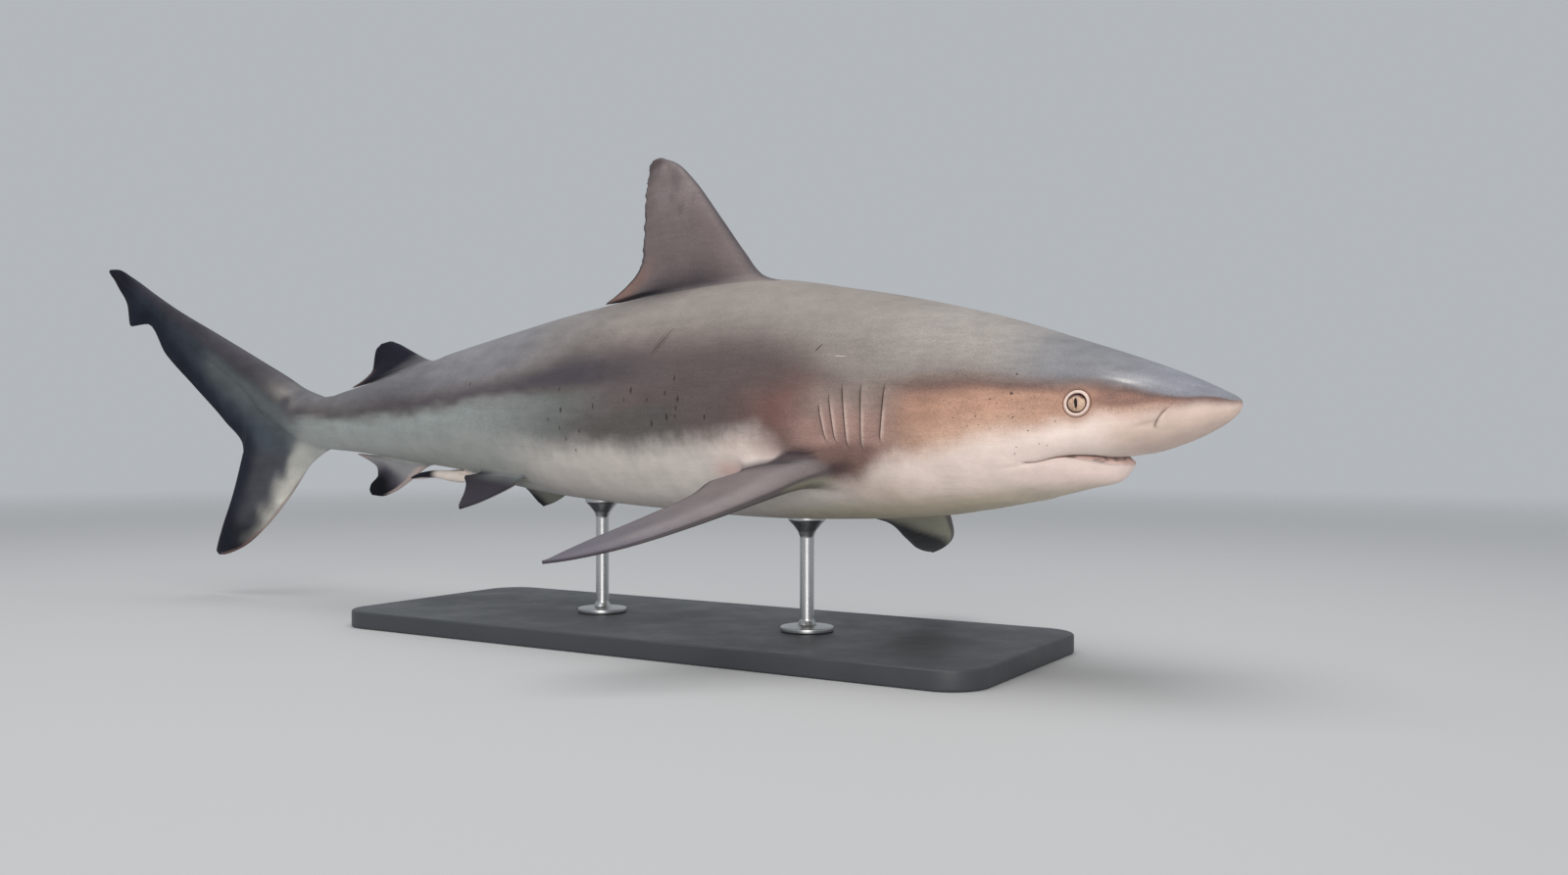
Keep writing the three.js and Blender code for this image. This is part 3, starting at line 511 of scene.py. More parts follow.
def grow(block, places, knee, number, uv, foot_v, steps=5):
    """Grows a graft from the rim: a fillet of rings, each point on a quadratic Bezier from the rim by way of
    knee to the first ring, and then the rings at places. uv = (along the chord, root to tip, face)."""
    rim = rim_of(block)
    rings = in_metres(places)
    t = (np.arange(1, steps) / steps)[:, None, None]
    fillet = (1 - t) ** 2 * grid[rim] + 2 * t * (1 - t) * knee + t**2 * rings[0]
    foot = np.broadcast_to(foot_v * t[..., 0], (steps - 1, len(rim[0])))
    u, v, face = uv
    uv = np.stack(np.broadcast_arrays(u, np.concatenate([foot, v]), face), axis=-1)
    places = np.concatenate([mix(grid_place[rim], places[0], t), places])
    stitch(block, np.concatenate([fillet, rings]), places, number, uv)
    print("graft", number, "with rings of", len(rim[0]))


# %% [markdown]
# ## Fins
# A shark's fin is a stiff foil with a blunt leading edge and a trailing edge thin as card. Each outline is
# two short lists of knots, for its leading and trailing edges, running from the root to the tip.

# %% Outlines of the fins in the middle
first_dorsal = dict(root=1.5, tip=0.2, nicks=0.085, lead=[
    (0, 29.6, -1), (0.03, 30.4, 0.1), (0.05, 31, 0.42), (0.16, 32.3, 1.9), (0.34, 34.2, 4.4),
    (0.6, 36.5, 7.4), (0.8, 37.9, 8.75), (0.92, 38.85, 9.22), (0.97, 39.4, 9.42), (1, 39.95, 9.3)], trail=[
    (0, 40.6, -1), (0.03, 41, -0.02), (0.05, 44.2, 0.22), (0.1, 43.3, 0.66), (0.16, 42.1, 1.3),
    (0.26, 41, 2.4), (0.45, 40.75, 4.6), (0.7, 40.62, 7), (0.9, 40.35, 8.45), (0.97, 40.25, 9.0),
    (1, 39.95, 9.3)])
second_dorsal = dict(root=0.55, tip=0.14, lead=[
    (0, 60.8, -0.6), (0.05, 61.3, 0.1), (0.12, 61.9, 0.45), (0.4, 63.5, 1.5), (0.7, 65, 2.48),
    (0.9, 65.9, 2.85), (1, 66.7, 2.87)], trail=[
    (0, 65.2, -0.6), (0.05, 65.6, -0.02), (0.12, 70, 0.16), (0.25, 68.8, 0.48), (0.42, 67.7, 1.05),
    (0.7, 67.5, 2), (0.9, 67.3, 2.6), (1, 66.7, 2.87)])
anal = dict(root=0.5, tip=0.14, lead=[
    (0, 60.9, -0.6), (0.05, 61.4, 0.1), (0.12, 62, 0.45), (0.4, 63.6, 1.65), (0.7, 65.5, 2.82),
    (0.9, 66.85, 3.27), (1, 67.7, 3.28)], trail=[
    (0, 65.3, -0.6), (0.05, 65.7, -0.02), (0.12, 69.4, 0.16), (0.25, 68.5, 0.45), (0.42, 67.2, 1),
    (0.6, 67.1, 1.6), (0.84, 67.95, 2.55), (0.94, 68.05, 2.98), (1, 67.7, 3.28)])
print("the first dorsal fin stands", first_dorsal["lead"][-1][2], "above the back")

# %% Outlines of the paired fins, from the root's front corner
pectoral = dict(root=0.95, tip=0.14, swell=1.3, lead=[
    (0, 0, -1.2), (0.05, 0.35, 0.4), (0.1, 1.8, 1.6), (0.25, 3.1, 4), (0.5, 5.2, 7.7), (0.75, 7.9, 11.3),
    (0.92, 10.5, 13.3), (1, 11.8, 13.9)], trail=[
    (0, 5.2, -1.2), (0.05, 5.8, 0.2), (0.1, 7.4, 1.6), (0.16, 8.3, 2.9), (0.25, 8.2, 4.2), (0.5, 9.3, 7.6),
    (0.75, 10.8, 10.9), (0.92, 11.6, 13.1), (1, 11.8, 13.9)])
pelvic = dict(root=0.4, tip=0.13, lead=[
    (0, 0, -1), (0.12, 0.25, -0.1), (0.2, 0.5, 0.5), (0.5, 2.2, 2), (0.8, 4.1, 3.1), (1, 5.1, 3.45)], trail=[
    (0, 4.2, -1), (0.12, 4.5, -0.02), (0.2, 6.9, 0.35), (0.45, 6.2, 1.1), (0.7, 5.7, 2), (0.9, 5.4, 3.1),
    (1, 5.1, 3.45)])
pectoral_pose = {
    RIGHT: dict(front=(21.2, 4.67, -3.3), rear=(27.3, 5.1, -3.15), droop=22.3),
    LEFT: dict(front=(20.69, 4.48, -2.2), rear=(26.77, 4.85, -3.75), droop=38.7, swing=18.8, curl=0.016,
               wide=1.13)}
pelvic_pose = {
    side: dict(front=(48.8, 2.9, -4.2), rear=(53.2, 2.3, -4.1), droop=droop)
    for side, droop in ((RIGHT, 46), (LEFT, 51))}
print("a pectoral fin is", pectoral["lead"][-1][2], "long and a pelvic fin", pelvic["lead"][-1][2])


# %% Where a fin sits
def on_back(along, out, across):
    return along, across, back(along) + out


def under_belly(along, out, across):
    return along, across, belly(along) - out


def side_fin(side, front, rear, droop, swing=0, curl=0, wide=1):
    """A paired fin's place: it spreads out and down by droop, swings forward by swing, and curls up."""
    start = np.array(front, float)
    chord = np.array(rear, float) - start
    chord /= np.linalg.norm(chord)
    down = np.radians(droop)
    span = np.array([0, np.cos(down), -np.sin(down)])
    up = np.cross(chord, span)
    up /= np.linalg.norm(up)

    def place(along, out, across):
        along = 4 + (along - 4) * wide
        angle = np.radians(swing) * clamp(out / 4)
        a = along * np.cos(angle) - out * np.sin(angle)
        b = along * np.sin(angle) + out * np.cos(angle)
        p = start + a[..., None] * chord + b[..., None] * span + across[..., None] * up
        return p[..., 0], side * p[..., 1], p[..., 2] + curl * np.maximum(b, 0) ** 2

    return place


# %% A fin's surface
def foil(u):
    """Half the thickness of a symmetrical wing section of thickness 1, at u from its leading edge 0 to 1."""
    return 5 * (0.2969 * np.sqrt(u) - 0.126 * u - 0.3516 * u**2 + 0.2843 * u**3 - 0.1036 * u**4)


def chord_share(phi):
    """0 at the leading edge, 1 at the trailing edge, for the angle phi round the section."""
    return (1 - np.cos(phi)) / 2


def fin_point(fin, v, phi, place):
    """(s, y, h) at v from root to tip and phi round the section, which is 0 at the leading edge."""
    u = chord_share(phi)
    thick = fin["root"] * (1 - v) ** 0.8 + fin["tip"] + fin.get("swell", 0) * (1 - v) ** 8
    half = thick * np.maximum(foil(u), 0) + EDGE * np.sqrt(np.abs(np.sin(phi)))
    lead, trail = columns_at(fin["lead"], v), columns_at(fin["trail"], v)
    trail[0] = trail[0] + fin.get("nicks", 0) * np.sin(131 * v) * np.sin(79 * v) * after(v, 0.12, 0.08)
    return place(mix(lead[0], trail[0], u), mix(lead[1], trail[1], u), half * np.sign(np.sin(phi)))


def eased(count, end=0.85):
    """Levels from 0 to 1, closer together towards both ends."""
    t = np.linspace(0, 1, count)
    return (1 - np.cos(np.pi * t * end)) / (1 - np.cos(np.pi * end))


def graft_fin(fin, block, place, number, foot, rings, handed=1):
    """Finds where the fin meets the body at each rim point, by halving, and grows it from there."""
    i0, i1, j0, j1 = block
    nose_u = 0.02
    edge_phi = np.arccos(1 - 2 * nose_u)
    s = grid_s[i0:i1 + 1, (j0 + j1) // 2 % COLUMNS]
    phi_side = np.arccos(1 - 2 * mix(nose_u, 1 - nose_u, (s - s[0]) / (s[-1] - s[0])))
    front = np.linspace(-edge_phi, edge_phi, j1 - j0, endpoint=False)
    phi = np.concatenate([front, phi_side[:-1], front + np.pi, 2 * np.pi - phi_side[:0:-1]]) * handed
    low, high = np.zeros_like(phi), np.full_like(phi, foot * 3)
    for _ in range(26):
        middle = (low + high) / 2
        out = outside(*fin_point(fin, middle, phi, place)) > 0
        low, high = np.where(out, low, middle), np.where(out, middle, high)
    first = high + foot
    v = first + (1 - first) * eased(rings)[:, None] * 0.997
    places = np.stack(fin_point(fin, v, np.broadcast_to(phi, v.shape), place), axis=-1)
    knee = world(*fin_point(fin, high, phi, place))
    grow(block, places, knee, number, (chord_share(phi), v, np.sin(phi)), high)


# %% Graft the fins
BELLY_COLUMN = COLUMNS // 2
for fin, first, last, middle, place, number, foot, rings, handed in (
        (first_dorsal, 28.8, 41.9, 0, on_back, 1, 0.022, 62, 1),
        (second_dorsal, 60.3, 66.2, 0, on_back, 2, 0.05, 20, 1),
        (anal, 60.4, 66.3, BELLY_COLUMN, under_belly, 3, 0.05, 20, -1)):
    block = (*rows_between(first, last, middle), middle - 7, middle + 7)
    graft_fin(fin, block, place, number, foot, rings, handed)
for side in (LEFT, RIGHT):
    for fin, pose, first, last, span, number, foot, rings in (
            (pectoral, pectoral_pose, 20.5, 28.9, (52, 65), 4, 0.03, 30),
            (pelvic, pelvic_pose, 48.2, 53.8, (66, 76), 5, 0.05, 18)):
        j0, j1 = columns_between(*span, side)
        block = (*rows_between(first, last, j0), j0, j1)
        graft_fin(fin, block, side_fin(side, **pose[side]), number, foot, rings, handed=-side)

# %% [markdown]
# ## Claspers
# A male shark carries a pair of claspers, rolled rods of cartilage behind the pelvic fins. Each is a tube of
# rings along a nearly straight line, grafted to the belly like a fin.

# %% Graft the claspers
CLASPER_SIDE, CLASPER_FOOT = 1.15, 0.3
clasper = [(0, 54.8, -4.35, 0.5), (0.33, 57.3, -4.42, 0.45), (0.64, 59.7, -4.28, 0.3),
           (0.86, 61.2, -4.42, 0.25), (0.96, 62.0, -4.55, 0.13), (1, 62.3, -4.6, 0.04)]
for side in (LEFT, RIGHT):
    j0, j1 = columns_between(77, 83, side)
    i0, i1 = rows_between(54.4, 56.5, j0)
    block = (i0, i1, j0, j1)
    rim = rim_of(block)
    # The rim's rear side becomes the top of the rod, its front side the underside.
    angle = np.arctan2((rim[1] - (j0 + j1) / 2) / (j1 - j0), (rim[0] - (i0 + i1) / 2) / (i1 - i0))
    t = np.concatenate([[CLASPER_FOOT], np.linspace(0.36, 1, 26)])[:, None]
    at, height, radius = columns_at(clasper, t)
    places = np.stack([at + 0 * angle, side * CLASPER_SIDE + radius * np.sin(angle),
                       height + radius * np.cos(angle)], axis=-1)
    knee = mix(grid[rim], in_metres(places[0]), 0.55) + np.array([0, 0, -0.002])
    rows_v = np.broadcast_to(t, (len(t), len(angle)))
    grow(block, places, knee, 6, (angle / (2 * np.pi), rows_v, np.cos(angle)), CLASPER_FOOT)

# %% [markdown]
# ## Lids and sockets
# The eye is round and stands out a little. A pale lid rings it, a fine groove runs round the lid, and the
# skin then turns in behind the ball. The rings below go from the rim of the cut to the lid and on inwards.

# %% Graft the lids and sockets
EYE_S, EYE_H, EYE_RADIUS, EYE_STANDS, APERTURE, LID_SIZE = 7.42, 0.28, 0.685, 0.212, 0.505, 0.945
SOCKET = 0.53  # inside this radius the rings leave the skin's form and shrink towards the socket
lid_profile = np.array([
    (1.16, 0.0), (1.02, 0.0), (0.92, 0.01), (0.84, 0.0), (0.79, -0.035), (0.755, -0.04), (0.73, 0.01),
    (0.7, 0.06), (0.66, 0.085), (0.61, 0.09), (0.57, 0.075), (0.545, 0.04), (0.535, 0.0), (0.56, -0.06),
    (0.66, -0.16), (0.76, -0.5), (0.6, -1.0), (0.2, -1.27)])  # radius, and how far it stands out
eye_frames = {}
for side in (LEFT, RIGHT):
    centre = np.array([EYE_S, side * float(side_of(np.array(EYE_S), np.array(EYE_H))), EYE_H])
    outward = np.array([-0.25, side * 0.955, 0.16])
    outward /= np.linalg.norm(outward)
    eye_row = np.argmin(np.abs(station[:, 38] - EYE_S))
    column = int(np.argmin(np.abs(body_h[eye_row, :COLUMNS // 2] - EYE_H)))
    column = column if side == LEFT else COLUMNS - column
    row = int(np.argmin(np.abs(station[:, column] - EYE_S)))
    block = (row - 10, row + 10, column - 10, column + 10)
    rim = rim_of(block)
    angle = np.arctan2(grid_h[rim] - EYE_H, grid_s[rim] - EYE_S)
    places = []
    for r, d in lid_profile:
        on_skin = max(r, SOCKET) * LID_SIZE
        s_skin, h_skin = EYE_S + on_skin * np.cos(angle) * 0.96, EYE_H + on_skin * np.sin(angle)
        ring = np.stack([s_skin, side * side_of(s_skin, h_skin), h_skin], axis=-1)
        flat = ring - outward * ((ring - centre) @ outward)[:, None]
        ring = centre + (mix(ring, flat, until(r, 0.95, 0.4)) - centre) * min(r / SOCKET, 1)
        places.append(ring + outward * d * LID_SIZE)
    between = mix(grid_place[rim], places[0], 0.5)
    between[:, 1] = side * side_of(between[:, 0], between[:, 2])
    places = np.stack([between] + places)
    radii = np.concatenate([[1.4], lid_profile[:, 0]])[:, None]
    stitch(block, in_metres(places), places, 7, np.stack(np.broadcast_arrays(radii, angle, 0.0), axis=-1))
    eye_frames[side] = (centre - outward * (EYE_RADIUS - EYE_STANDS), outward)
print("lids and sockets grafted; eye row and column", row, column)

# %% Put the skin together
i, j = np.argwhere(open_cell).T
cell, beside = i * COLUMNS + j, i * COLUMNS + (j + 1) % COLUMNS
skin_quads.append(np.stack([cell, beside, beside + COLUMNS, cell + COLUMNS], axis=-1))
nose_id = sum(len(p) for p in skin_points)
skin_points.extend([in_metres([[NOSE, 0, NOSE_HEIGHT]]), grid[-1].mean(axis=0, keepdims=True)])
skin_place.append(np.array([[NOSE, 0, NOSE_HEIGHT], [100.4, 0, 13.8]]))
part_of.append(np.zeros(2))
fin_place.append(np.zeros((2, 3)))
ring = np.arange(COLUMNS)
skin_tris.append(np.stack([ring, np.full(COLUMNS, nose_id), np.roll(ring, -1)], axis=-1))
ring = ring + (ROWS - 1) * COLUMNS
skin_tris.append(np.stack([np.roll(ring, -1), np.full(COLUMNS, nose_id + 1), ring], axis=-1))
points, place, on_fin = (np.concatenate(a) for a in (skin_points, skin_place, fin_place))
number = np.concatenate(part_of)
quads, tris = np.concatenate(skin_quads), np.concatenate(skin_tris)
print("skin:", len(points), "points,", 2 * len(quads) + len(tris), "triangles")


# %% Make it a Blender mesh
def mesh_piece(name, points, quads, tris):
    """One smooth mesh object at the origin from arrays of points, four-sided faces and triangles."""
    mesh = bpy.data.meshes.new(name)
    mesh.vertices.add(len(points))
    mesh.vertices.foreach_set("co", points.astype(np.float32).ravel())
    corners = np.concatenate([quads.ravel(), tris.ravel()]).astype(np.int32)
    sizes = np.concatenate([np.full(len(quads), 4), np.full(len(tris), 3)])
    mesh.loops.add(len(corners))
    mesh.loops.foreach_set("vertex_index", corners)
    mesh.polygons.add(len(sizes))
    mesh.polygons.foreach_set("loop_start", (np.cumsum(sizes) - sizes).astype(np.int32))
    mesh.update(calc_edges=True)
    mesh.validate(verbose=True)
    mesh.shade_smooth()
    piece = bpy.data.objects.new(name, mesh)
    bpy.context.scene.collection.objects.link(piece)
    return piece


def keep(piece, name, values, kind="FLOAT", field="value"):
    """Stores one value for each point of the piece, for its material to read."""
    stored = piece.data.attributes.new(name, kind, "POINT")
    stored.data.foreach_set(field, values.astype(np.float32).ravel())


FLESH = [n for n in frame["nodes"] if not n.startswith(("stand_", "eye_"))]
skin_piece = mesh_piece("shark_skin", points, quads, tris)
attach(skin_piece, "root")
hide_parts(*FLESH)
check = bmesh.new()
check.from_mesh(skin_piece.data)
open_edges = sum(not e.is_manifold for e in check.edges)
turned_over = sum(e.is_manifold and not e.is_contiguous for e in check.edges)
litres = check.calc_volume(signed=True) * 1000
check.free()
print("open edges", open_edges, "turned over", turned_over, "litres", round(litres, 2))

# %% [markdown]
# ## The coat's colours
# Sharks are countershaded: dark above and white below, so that they vanish in the light from over the sea.
# The colours are worked out for each point of the skin from a small palette. The upper and the lower colour
# are kept apart, with the distance from the line between them, so that the shader can draw that line with
# streaks finer than the mesh.

# %% Palette
def tone(r, g, b):
    """A colour as a painter's 0 to 255 values, turned into the linear values that light adds up in."""
    c = np.array([r, g, b]) / 255
    return np.where(c <= 0.04045, c / 12.92, ((c + 0.055) / 1.055) ** 2.4)


BACK_GREY, BACK_FRONT, BACK_REAR = tone(134, 126, 120), tone(144, 137, 132), tone(106, 105, 109)
FLANK_BROWN, BAND_DARK, STRIPE_PALE = tone(96, 85, 83), tone(70, 65, 71), tone(110, 114, 112)
WEDGE_DARK, SHOULDER_RED, FLANK_PINK = tone(88, 84, 81), tone(121, 87, 81), tone(176, 148, 144)
BELLY, BELLY_REAR, STALK_PALE = tone(207, 199, 193), tone(158, 160, 156), tone(147, 153, 151)
# The olive on this line is painted light: a greenish reflection in the shade under the body.
THROAT, THROAT_TAN, OLIVE_REFLECTED_SHADE = tone(240, 221, 211), tone(200, 172, 150), tone(197, 188, 158)
SNOUT_PINK, JAW_PINK, GUM_PINK = tone(206, 180, 166), tone(250, 224, 216), tone(230, 198, 190)
# The lid's dark line on this line is painted shade, in the groove round the lid and in the socket.
BLUSH, LID_BEIGE, LID_GROOVE_SHADE = tone(206, 146, 138), tone(226, 201, 190), tone(86, 62, 52)
HEAD_TAN, TAN_PALE, HEAD_BROWN = tone(184, 144, 123), tone(206, 170, 148), tone(146, 110, 97)
HEAD_SLATE, SNOUT_SLATE, SNOUT_LINE = tone(120, 120, 124), tone(130, 131, 139), tone(104, 86, 86)
# The brow's two pale tones on this line are painted highlights.
BROW_BROWN, BROW_HIGHLIGHT, BROW_SOFT_HIGHLIGHT = tone(108, 88, 82), tone(206, 202, 198), tone(176, 174, 176)
# The gill rim's pale tone on this line is a painted highlight.
GILL_MAUVE, GILL_GREY, GILL_RIM_HIGHLIGHT = tone(170, 138, 128), tone(152, 134, 126), tone(206, 182, 172)
# The three colours of this line are painted shade: in the axil, and over the pectoral fin's root.
AXIL_SHADE_BROWN, ROOT_SHADE_DARK, ROOT_SHADE_MAUVE = tone(84, 58, 52), tone(58, 47, 52), tone(100, 88, 90)
FIN_BROWN, FIN_MAUVE, FIN_BLACK = tone(104, 93, 92), tone(68, 61, 68), tone(24, 25, 34)
print("the darkest colour is", FIN_BLACK.round(3), "and the palest", JAW_PINK.round(3))


def coats(base, layers):
    """Covers the base colour with each (colour, amount) of the layers in turn, point by point."""
    for over, amount in layers:
        base = mix(base, over, np.asarray(amount)[..., None])
    return base


# %% Repeatable noise
def noise(p, scale, seed=0, octaves=3):
    """Value noise from -1 to 1: random numbers at whole coordinates, blended, in ever finer octaves."""
    total, weight = np.zeros(len(p)), 0.0
    for octave in range(octaves):
        q = p * scale * 2.0**octave + seed * 17.3
        cell = np.floor(q).astype(np.int64)
        f = q - cell
        f = f * f * (3 - 2 * f)
        value = np.zeros(len(p))
        for corner in np.ndindex(2, 2, 2):
            k = (cell + np.array(corner)).T
            n = k[0] * 73856093 ^ k[1] * 19349663 ^ k[2] * 83492791 ^ (seed + octave) * 2654435761
            n = n & 0xFFFFFFFF
            n = ((n ^ (n >> 15)) * 2246822519) & 0xFFFFFFFF
            n = ((n ^ (n >> 13)) * 3266489917) & 0xFFFFFFFF
            value += (n ^ (n >> 16)) / 2**31 * np.prod(np.where(corner, f, 1 - f), axis=1)
        total += (value - 1) * 0.5**octave
        weight += 0.5**octave
    return total / weight * 1.6


def stretched(s, y, h, scale, seed):
    """The same over the skin's places, with its patches drawn out along the axes whose factor is small."""
    return noise(place * np.array([s, y, h]), scale, seed)


print("noise at the first points", noise(place[:3], 0.5).round(2))

# %% Lines of the pattern on the body
pale_edge = monotone([
    (0, 0.3), (1.64, 0.29), (3.26, 0.09), (5.0, -0.17), (6.4, -0.26), (7.29, -0.63), (8.85, -0.87),
    (10.29, -1.16), (12.55, -1.5), (15.43, -2.25), (18.55, -2.78), (20.4, -3.9), (22.3, -4.2),
    (24.6, -3.0), (25.8, -1.8), (27.2, -1.3), (28.8, -1.42), (31.15, -1.86), (37.4, -2.12), (44.9, -2.1),
    (51.1, -1.45), (60, -1.3), (72, -1.0), (101, -1.0)])
edge_width = monotone([
    (0, 0.12), (4, 0.3), (8, 0.4), (16, 0.55), (22, 0.5), (26, 0.75), (36, 0.62), (50, 0.8), (60, 1.2),
    (101, 1.2)])
wedge_edge = monotone([(30, 1.2), (37.1, 0.43), (40.8, -0.09), (46.7, -0.51), (52, -0.8), (101, -0.8)])
band_low = monotone([
    (30, 1.9), (40.9, 1.82), (46.8, 1.62), (51, 1.3), (57.9, 0.7), (64, 0.3), (70.2, -0.1), (101, -0.1)])
band_high = monotone([
    (0, 1.4), (17, 1.0), (20, 1.1), (22, 2.2), (25, 4.0), (28.5, 4.8), (33.4, 5.2), (41.8, 4.78),
    (49.4, 3.42), (58.5, 2.45), (70.9, 1.51), (101, 1.4)])
S, Y, H = place.T
U, V, FACE = on_fin.T
wander = stretched(0.5, 0.3, 0.8, 0.55, 1)
blotch = noise(place, 0.35, 2)
high = H + 0.22 * wander
ragged = high + 0.3 * stretched(0.4, 0.3, 1.2, 1.5, 9) * after(S, 38, 8)
up_share = clamp((high - pale_edge(S)) / np.maximum(back(S) - pale_edge(S), 0.3))
print("of the points", (100 * (high > pale_edge(S)).mean()).round(), "percent lie above the pale edge")

# %% Upper colours of the trunk: back, band, stripes and shoulder
back_share = smooth((high - band_high(S) + 1.9) / mix(3.4, 2.2, after(S, 42, 10)))
upper = coats(FLANK_BROWN, [
    (BACK_GREY, back_share),
    (BACK_REAR, back_share * after(S, 37, 16)),
    (BAND_DARK, 0.92 * after(ragged, band_low(S) - 0.5, 1.2) * until(high, band_high(S) + 0.1, 1.9)
     * after(S, 31, 12)),
    (STRIPE_PALE, 0.9 * until(ragged, band_low(S) + 0.4, 1.1) * after(S, 36, 9)),
    (WEDGE_DARK, until(high, wedge_edge(S) + 0.2, 0.5) * after(S, 30, 6) * until(S, 46.5, 9))])
# Painted light: the bell about station 53 brightens the skin where more light falls; the noise is random
# tone.
upper = upper * (1 + 0.22 * bell(S - 53, 5.5) + 0.07 * bell(S - 37, 4) - 0.1 * after(S, 58, 5)
                 + 0.12 * bell(S - 58, 9) * after(H, 2.2, 1)
                 + 0.13 * stretched(0.5, 0.6, 1.3, 1.4, 10) * after(S, 32, 10))[:, None]
upper = coats(upper, [
    (STALK_PALE, after(S, 43, 12) * until(ragged, band_low(S) + 0.45, 1.3)),
    (BAND_DARK, 0.2 * bell(S - 31, 6) * bell(high - 1.6, 2.0)),
    (BAND_DARK, 0.4 * bell(S - 63, 6) * bell(high - 1.5, 0.7)),
    (SHOULDER_RED, 0.95 * bell(S - 24.8, 3.0) * bell(high - 0.2, 1.9)),
    (FLANK_BROWN * 0.86, 0.7 * bell(S - 27, 3) * bell(high - 2.6, 1.4))])
print("trunk painted; mean", upper.mean(axis=0).round(3))

# %% Upper colours of the head: tan side, brown brow line, and slate crown with painted highlights along the brow
slate_from = monotone([(0, 0.03), (2, 0.1), (3.5, 0.22), (5.5, 0.41), (7.5, 0.45), (11, 0.43), (18, 0.42)])(S)
over_line = up_share - slate_from
over_brow = H - 0.25 * (S - 5.1)
crown = coats(SNOUT_SLATE, [
    (HEAD_SLATE, after(S, 3, 4)),
    (BACK_FRONT, after(S, 8, 5)),
    # Painted highlights along the brow ridge: a narrow bright line, and a softer glow above it.
    (BROW_HIGHLIGHT, 0.85 * bell(S - 5.3, 0.7) * bell(over_brow - 1.34, 0.1)),
    (BROW_SOFT_HIGHLIGHT, 0.4 * bell(S - 4.9, 1.5) * bell(over_brow - 1.6, 0.25))])
head_side = coats(HEAD_TAN, [
    (HEAD_BROWN, smooth((up_share - 0.30 * after(S, 6, 3) - 0.02) / 0.14)),
    (HEAD_BROWN, 0.8 * until(S, 4.6, 1.5)),
    (SNOUT_LINE, 0.8 * until(S, 3.4, 1.6)),
    (TAN_PALE, 0.8 * until(up_share, 0.26, 0.16) * after(S, 8.5, 3)),
    (HEAD_BROWN, 0.3 * bell(S - 17, 1.8) + 0.3 * after(wander, -0.1, 0.5) * after(S, 8, 2)
     * after(up_share, 0.18, 0.15)),
    (BROW_BROWN, 0.9 * bell(over_line - 0.02, 0.06)),
    (BROW_BROWN, 0.5 * after(noise(place, 1.8, 6), -0.5, 0.8) * until(S, 6.4, 0.8) * after(S, 2.2, 1.2)
     * after(up_share, 0.08, 0.15)),
    (crown, after(over_line, 0, 0.12)),
    (BROW_BROWN, 0.42 * bell(over_line - 0.08, 0.06) * after(S, 2.5, 1.5) * (1 - 0.8 * after(S, 14, 4)))])
print("head painted; mean crown", crown.mean(axis=0).round(3))

# %% The head over the trunk, then the gills with a painted highlight on each flap, and painted shade in the hollow behind them
gills_share = after(S - 0.5 * blotch, 16.6, 2.4) * until(S - blotch, 25.5, 4) * until(high, 2.2, 1.8)
body_points = ROWS * COLUMNS


def on_all_points(grid_values):
    """Values of the body's rows, with 0 for the points of the tail and the grafts."""
    return np.concatenate([grid_values.ravel(), np.zeros(len(points) - grid_values.size)])


upper = coats(upper, [
    (head_side, until(S, 20.5, 5)),
    (mix(GILL_MAUVE, GILL_GREY, after(high, -1.0, 1.8)[:, None]), 0.9 * gills_share),
    # Painted highlight along the edge of each gill flap.
    (GILL_RIM_HIGHLIGHT, 0.8 * on_all_points(gill_rim_highlight) * until(high, 0.8, 1.5)),
    # Painted shade in the axil: behind the gills, down to the pectoral fin's front root.
    (AXIL_SHADE_BROWN, 0.56 * until(high, -1.5, 0.75) * after(S, 17.6, 2) * until(S, 25, 1.5)),
    (AXIL_SHADE_BROWN, 0.75 * until(high, -2.3, 0.8) * bell(S - 22.2, 1.5))])
print("gills painted; mean share", gills_share.mean().round(3))

# %% Lower colours: throat, jaw and belly
lower = coats(BELLY, [
    (THROAT, until(S, 24, 8)),
    (SNOUT_PINK, 0.7 * until(S, 7.2, 2.5) * (1 - 0.6 * until(H, -2.1, 0.4))),
    # Painted light: a greenish reflection in the shade low under the head and belly.
    (OLIVE_REFLECTED_SHADE, 0.72 * smooth((-H - 3.4 - 0.1 * (S - 8)) / 1.3) * until(S, 31, 6) * after(S, 6, 2)),
    (THROAT * 1.12, 0.8 * bell(S - 27.5, 3.0) * bell(H + 1.9, 1.0)),
    (JAW_PINK, 0.6 * bell(S - 8.2, 2.0) * bell(H + 3.5, 0.8)),
    (THROAT_TAN, 0.4 * bell(S - 19.3, 2.0) * bell(H + 4.5, 0.7))])
lower = lower * (1 + 0.14 * bell(S - 38, 6) * until(H, -3.8, 1.2) + 0.07 * bell(S - 33, 4))[:, None]
lower = coats(lower, [
    (BLUSH, 0.48 * bell(S - 29.5, 1.1) * bell(H + 3.5, 0.6)),
    (FLANK_PINK, 0.8 * bell(S - 25.3, 1.7) * bell(H + 1.9, 1.0)),
    (BELLY_REAR, after(S, 43, 9)),
    (STALK_PALE * 1.15, after(S, 52, 10) * after(H, -3.2, 2.5))])
print("belly painted; mean", lower.mean(axis=0).round(3))

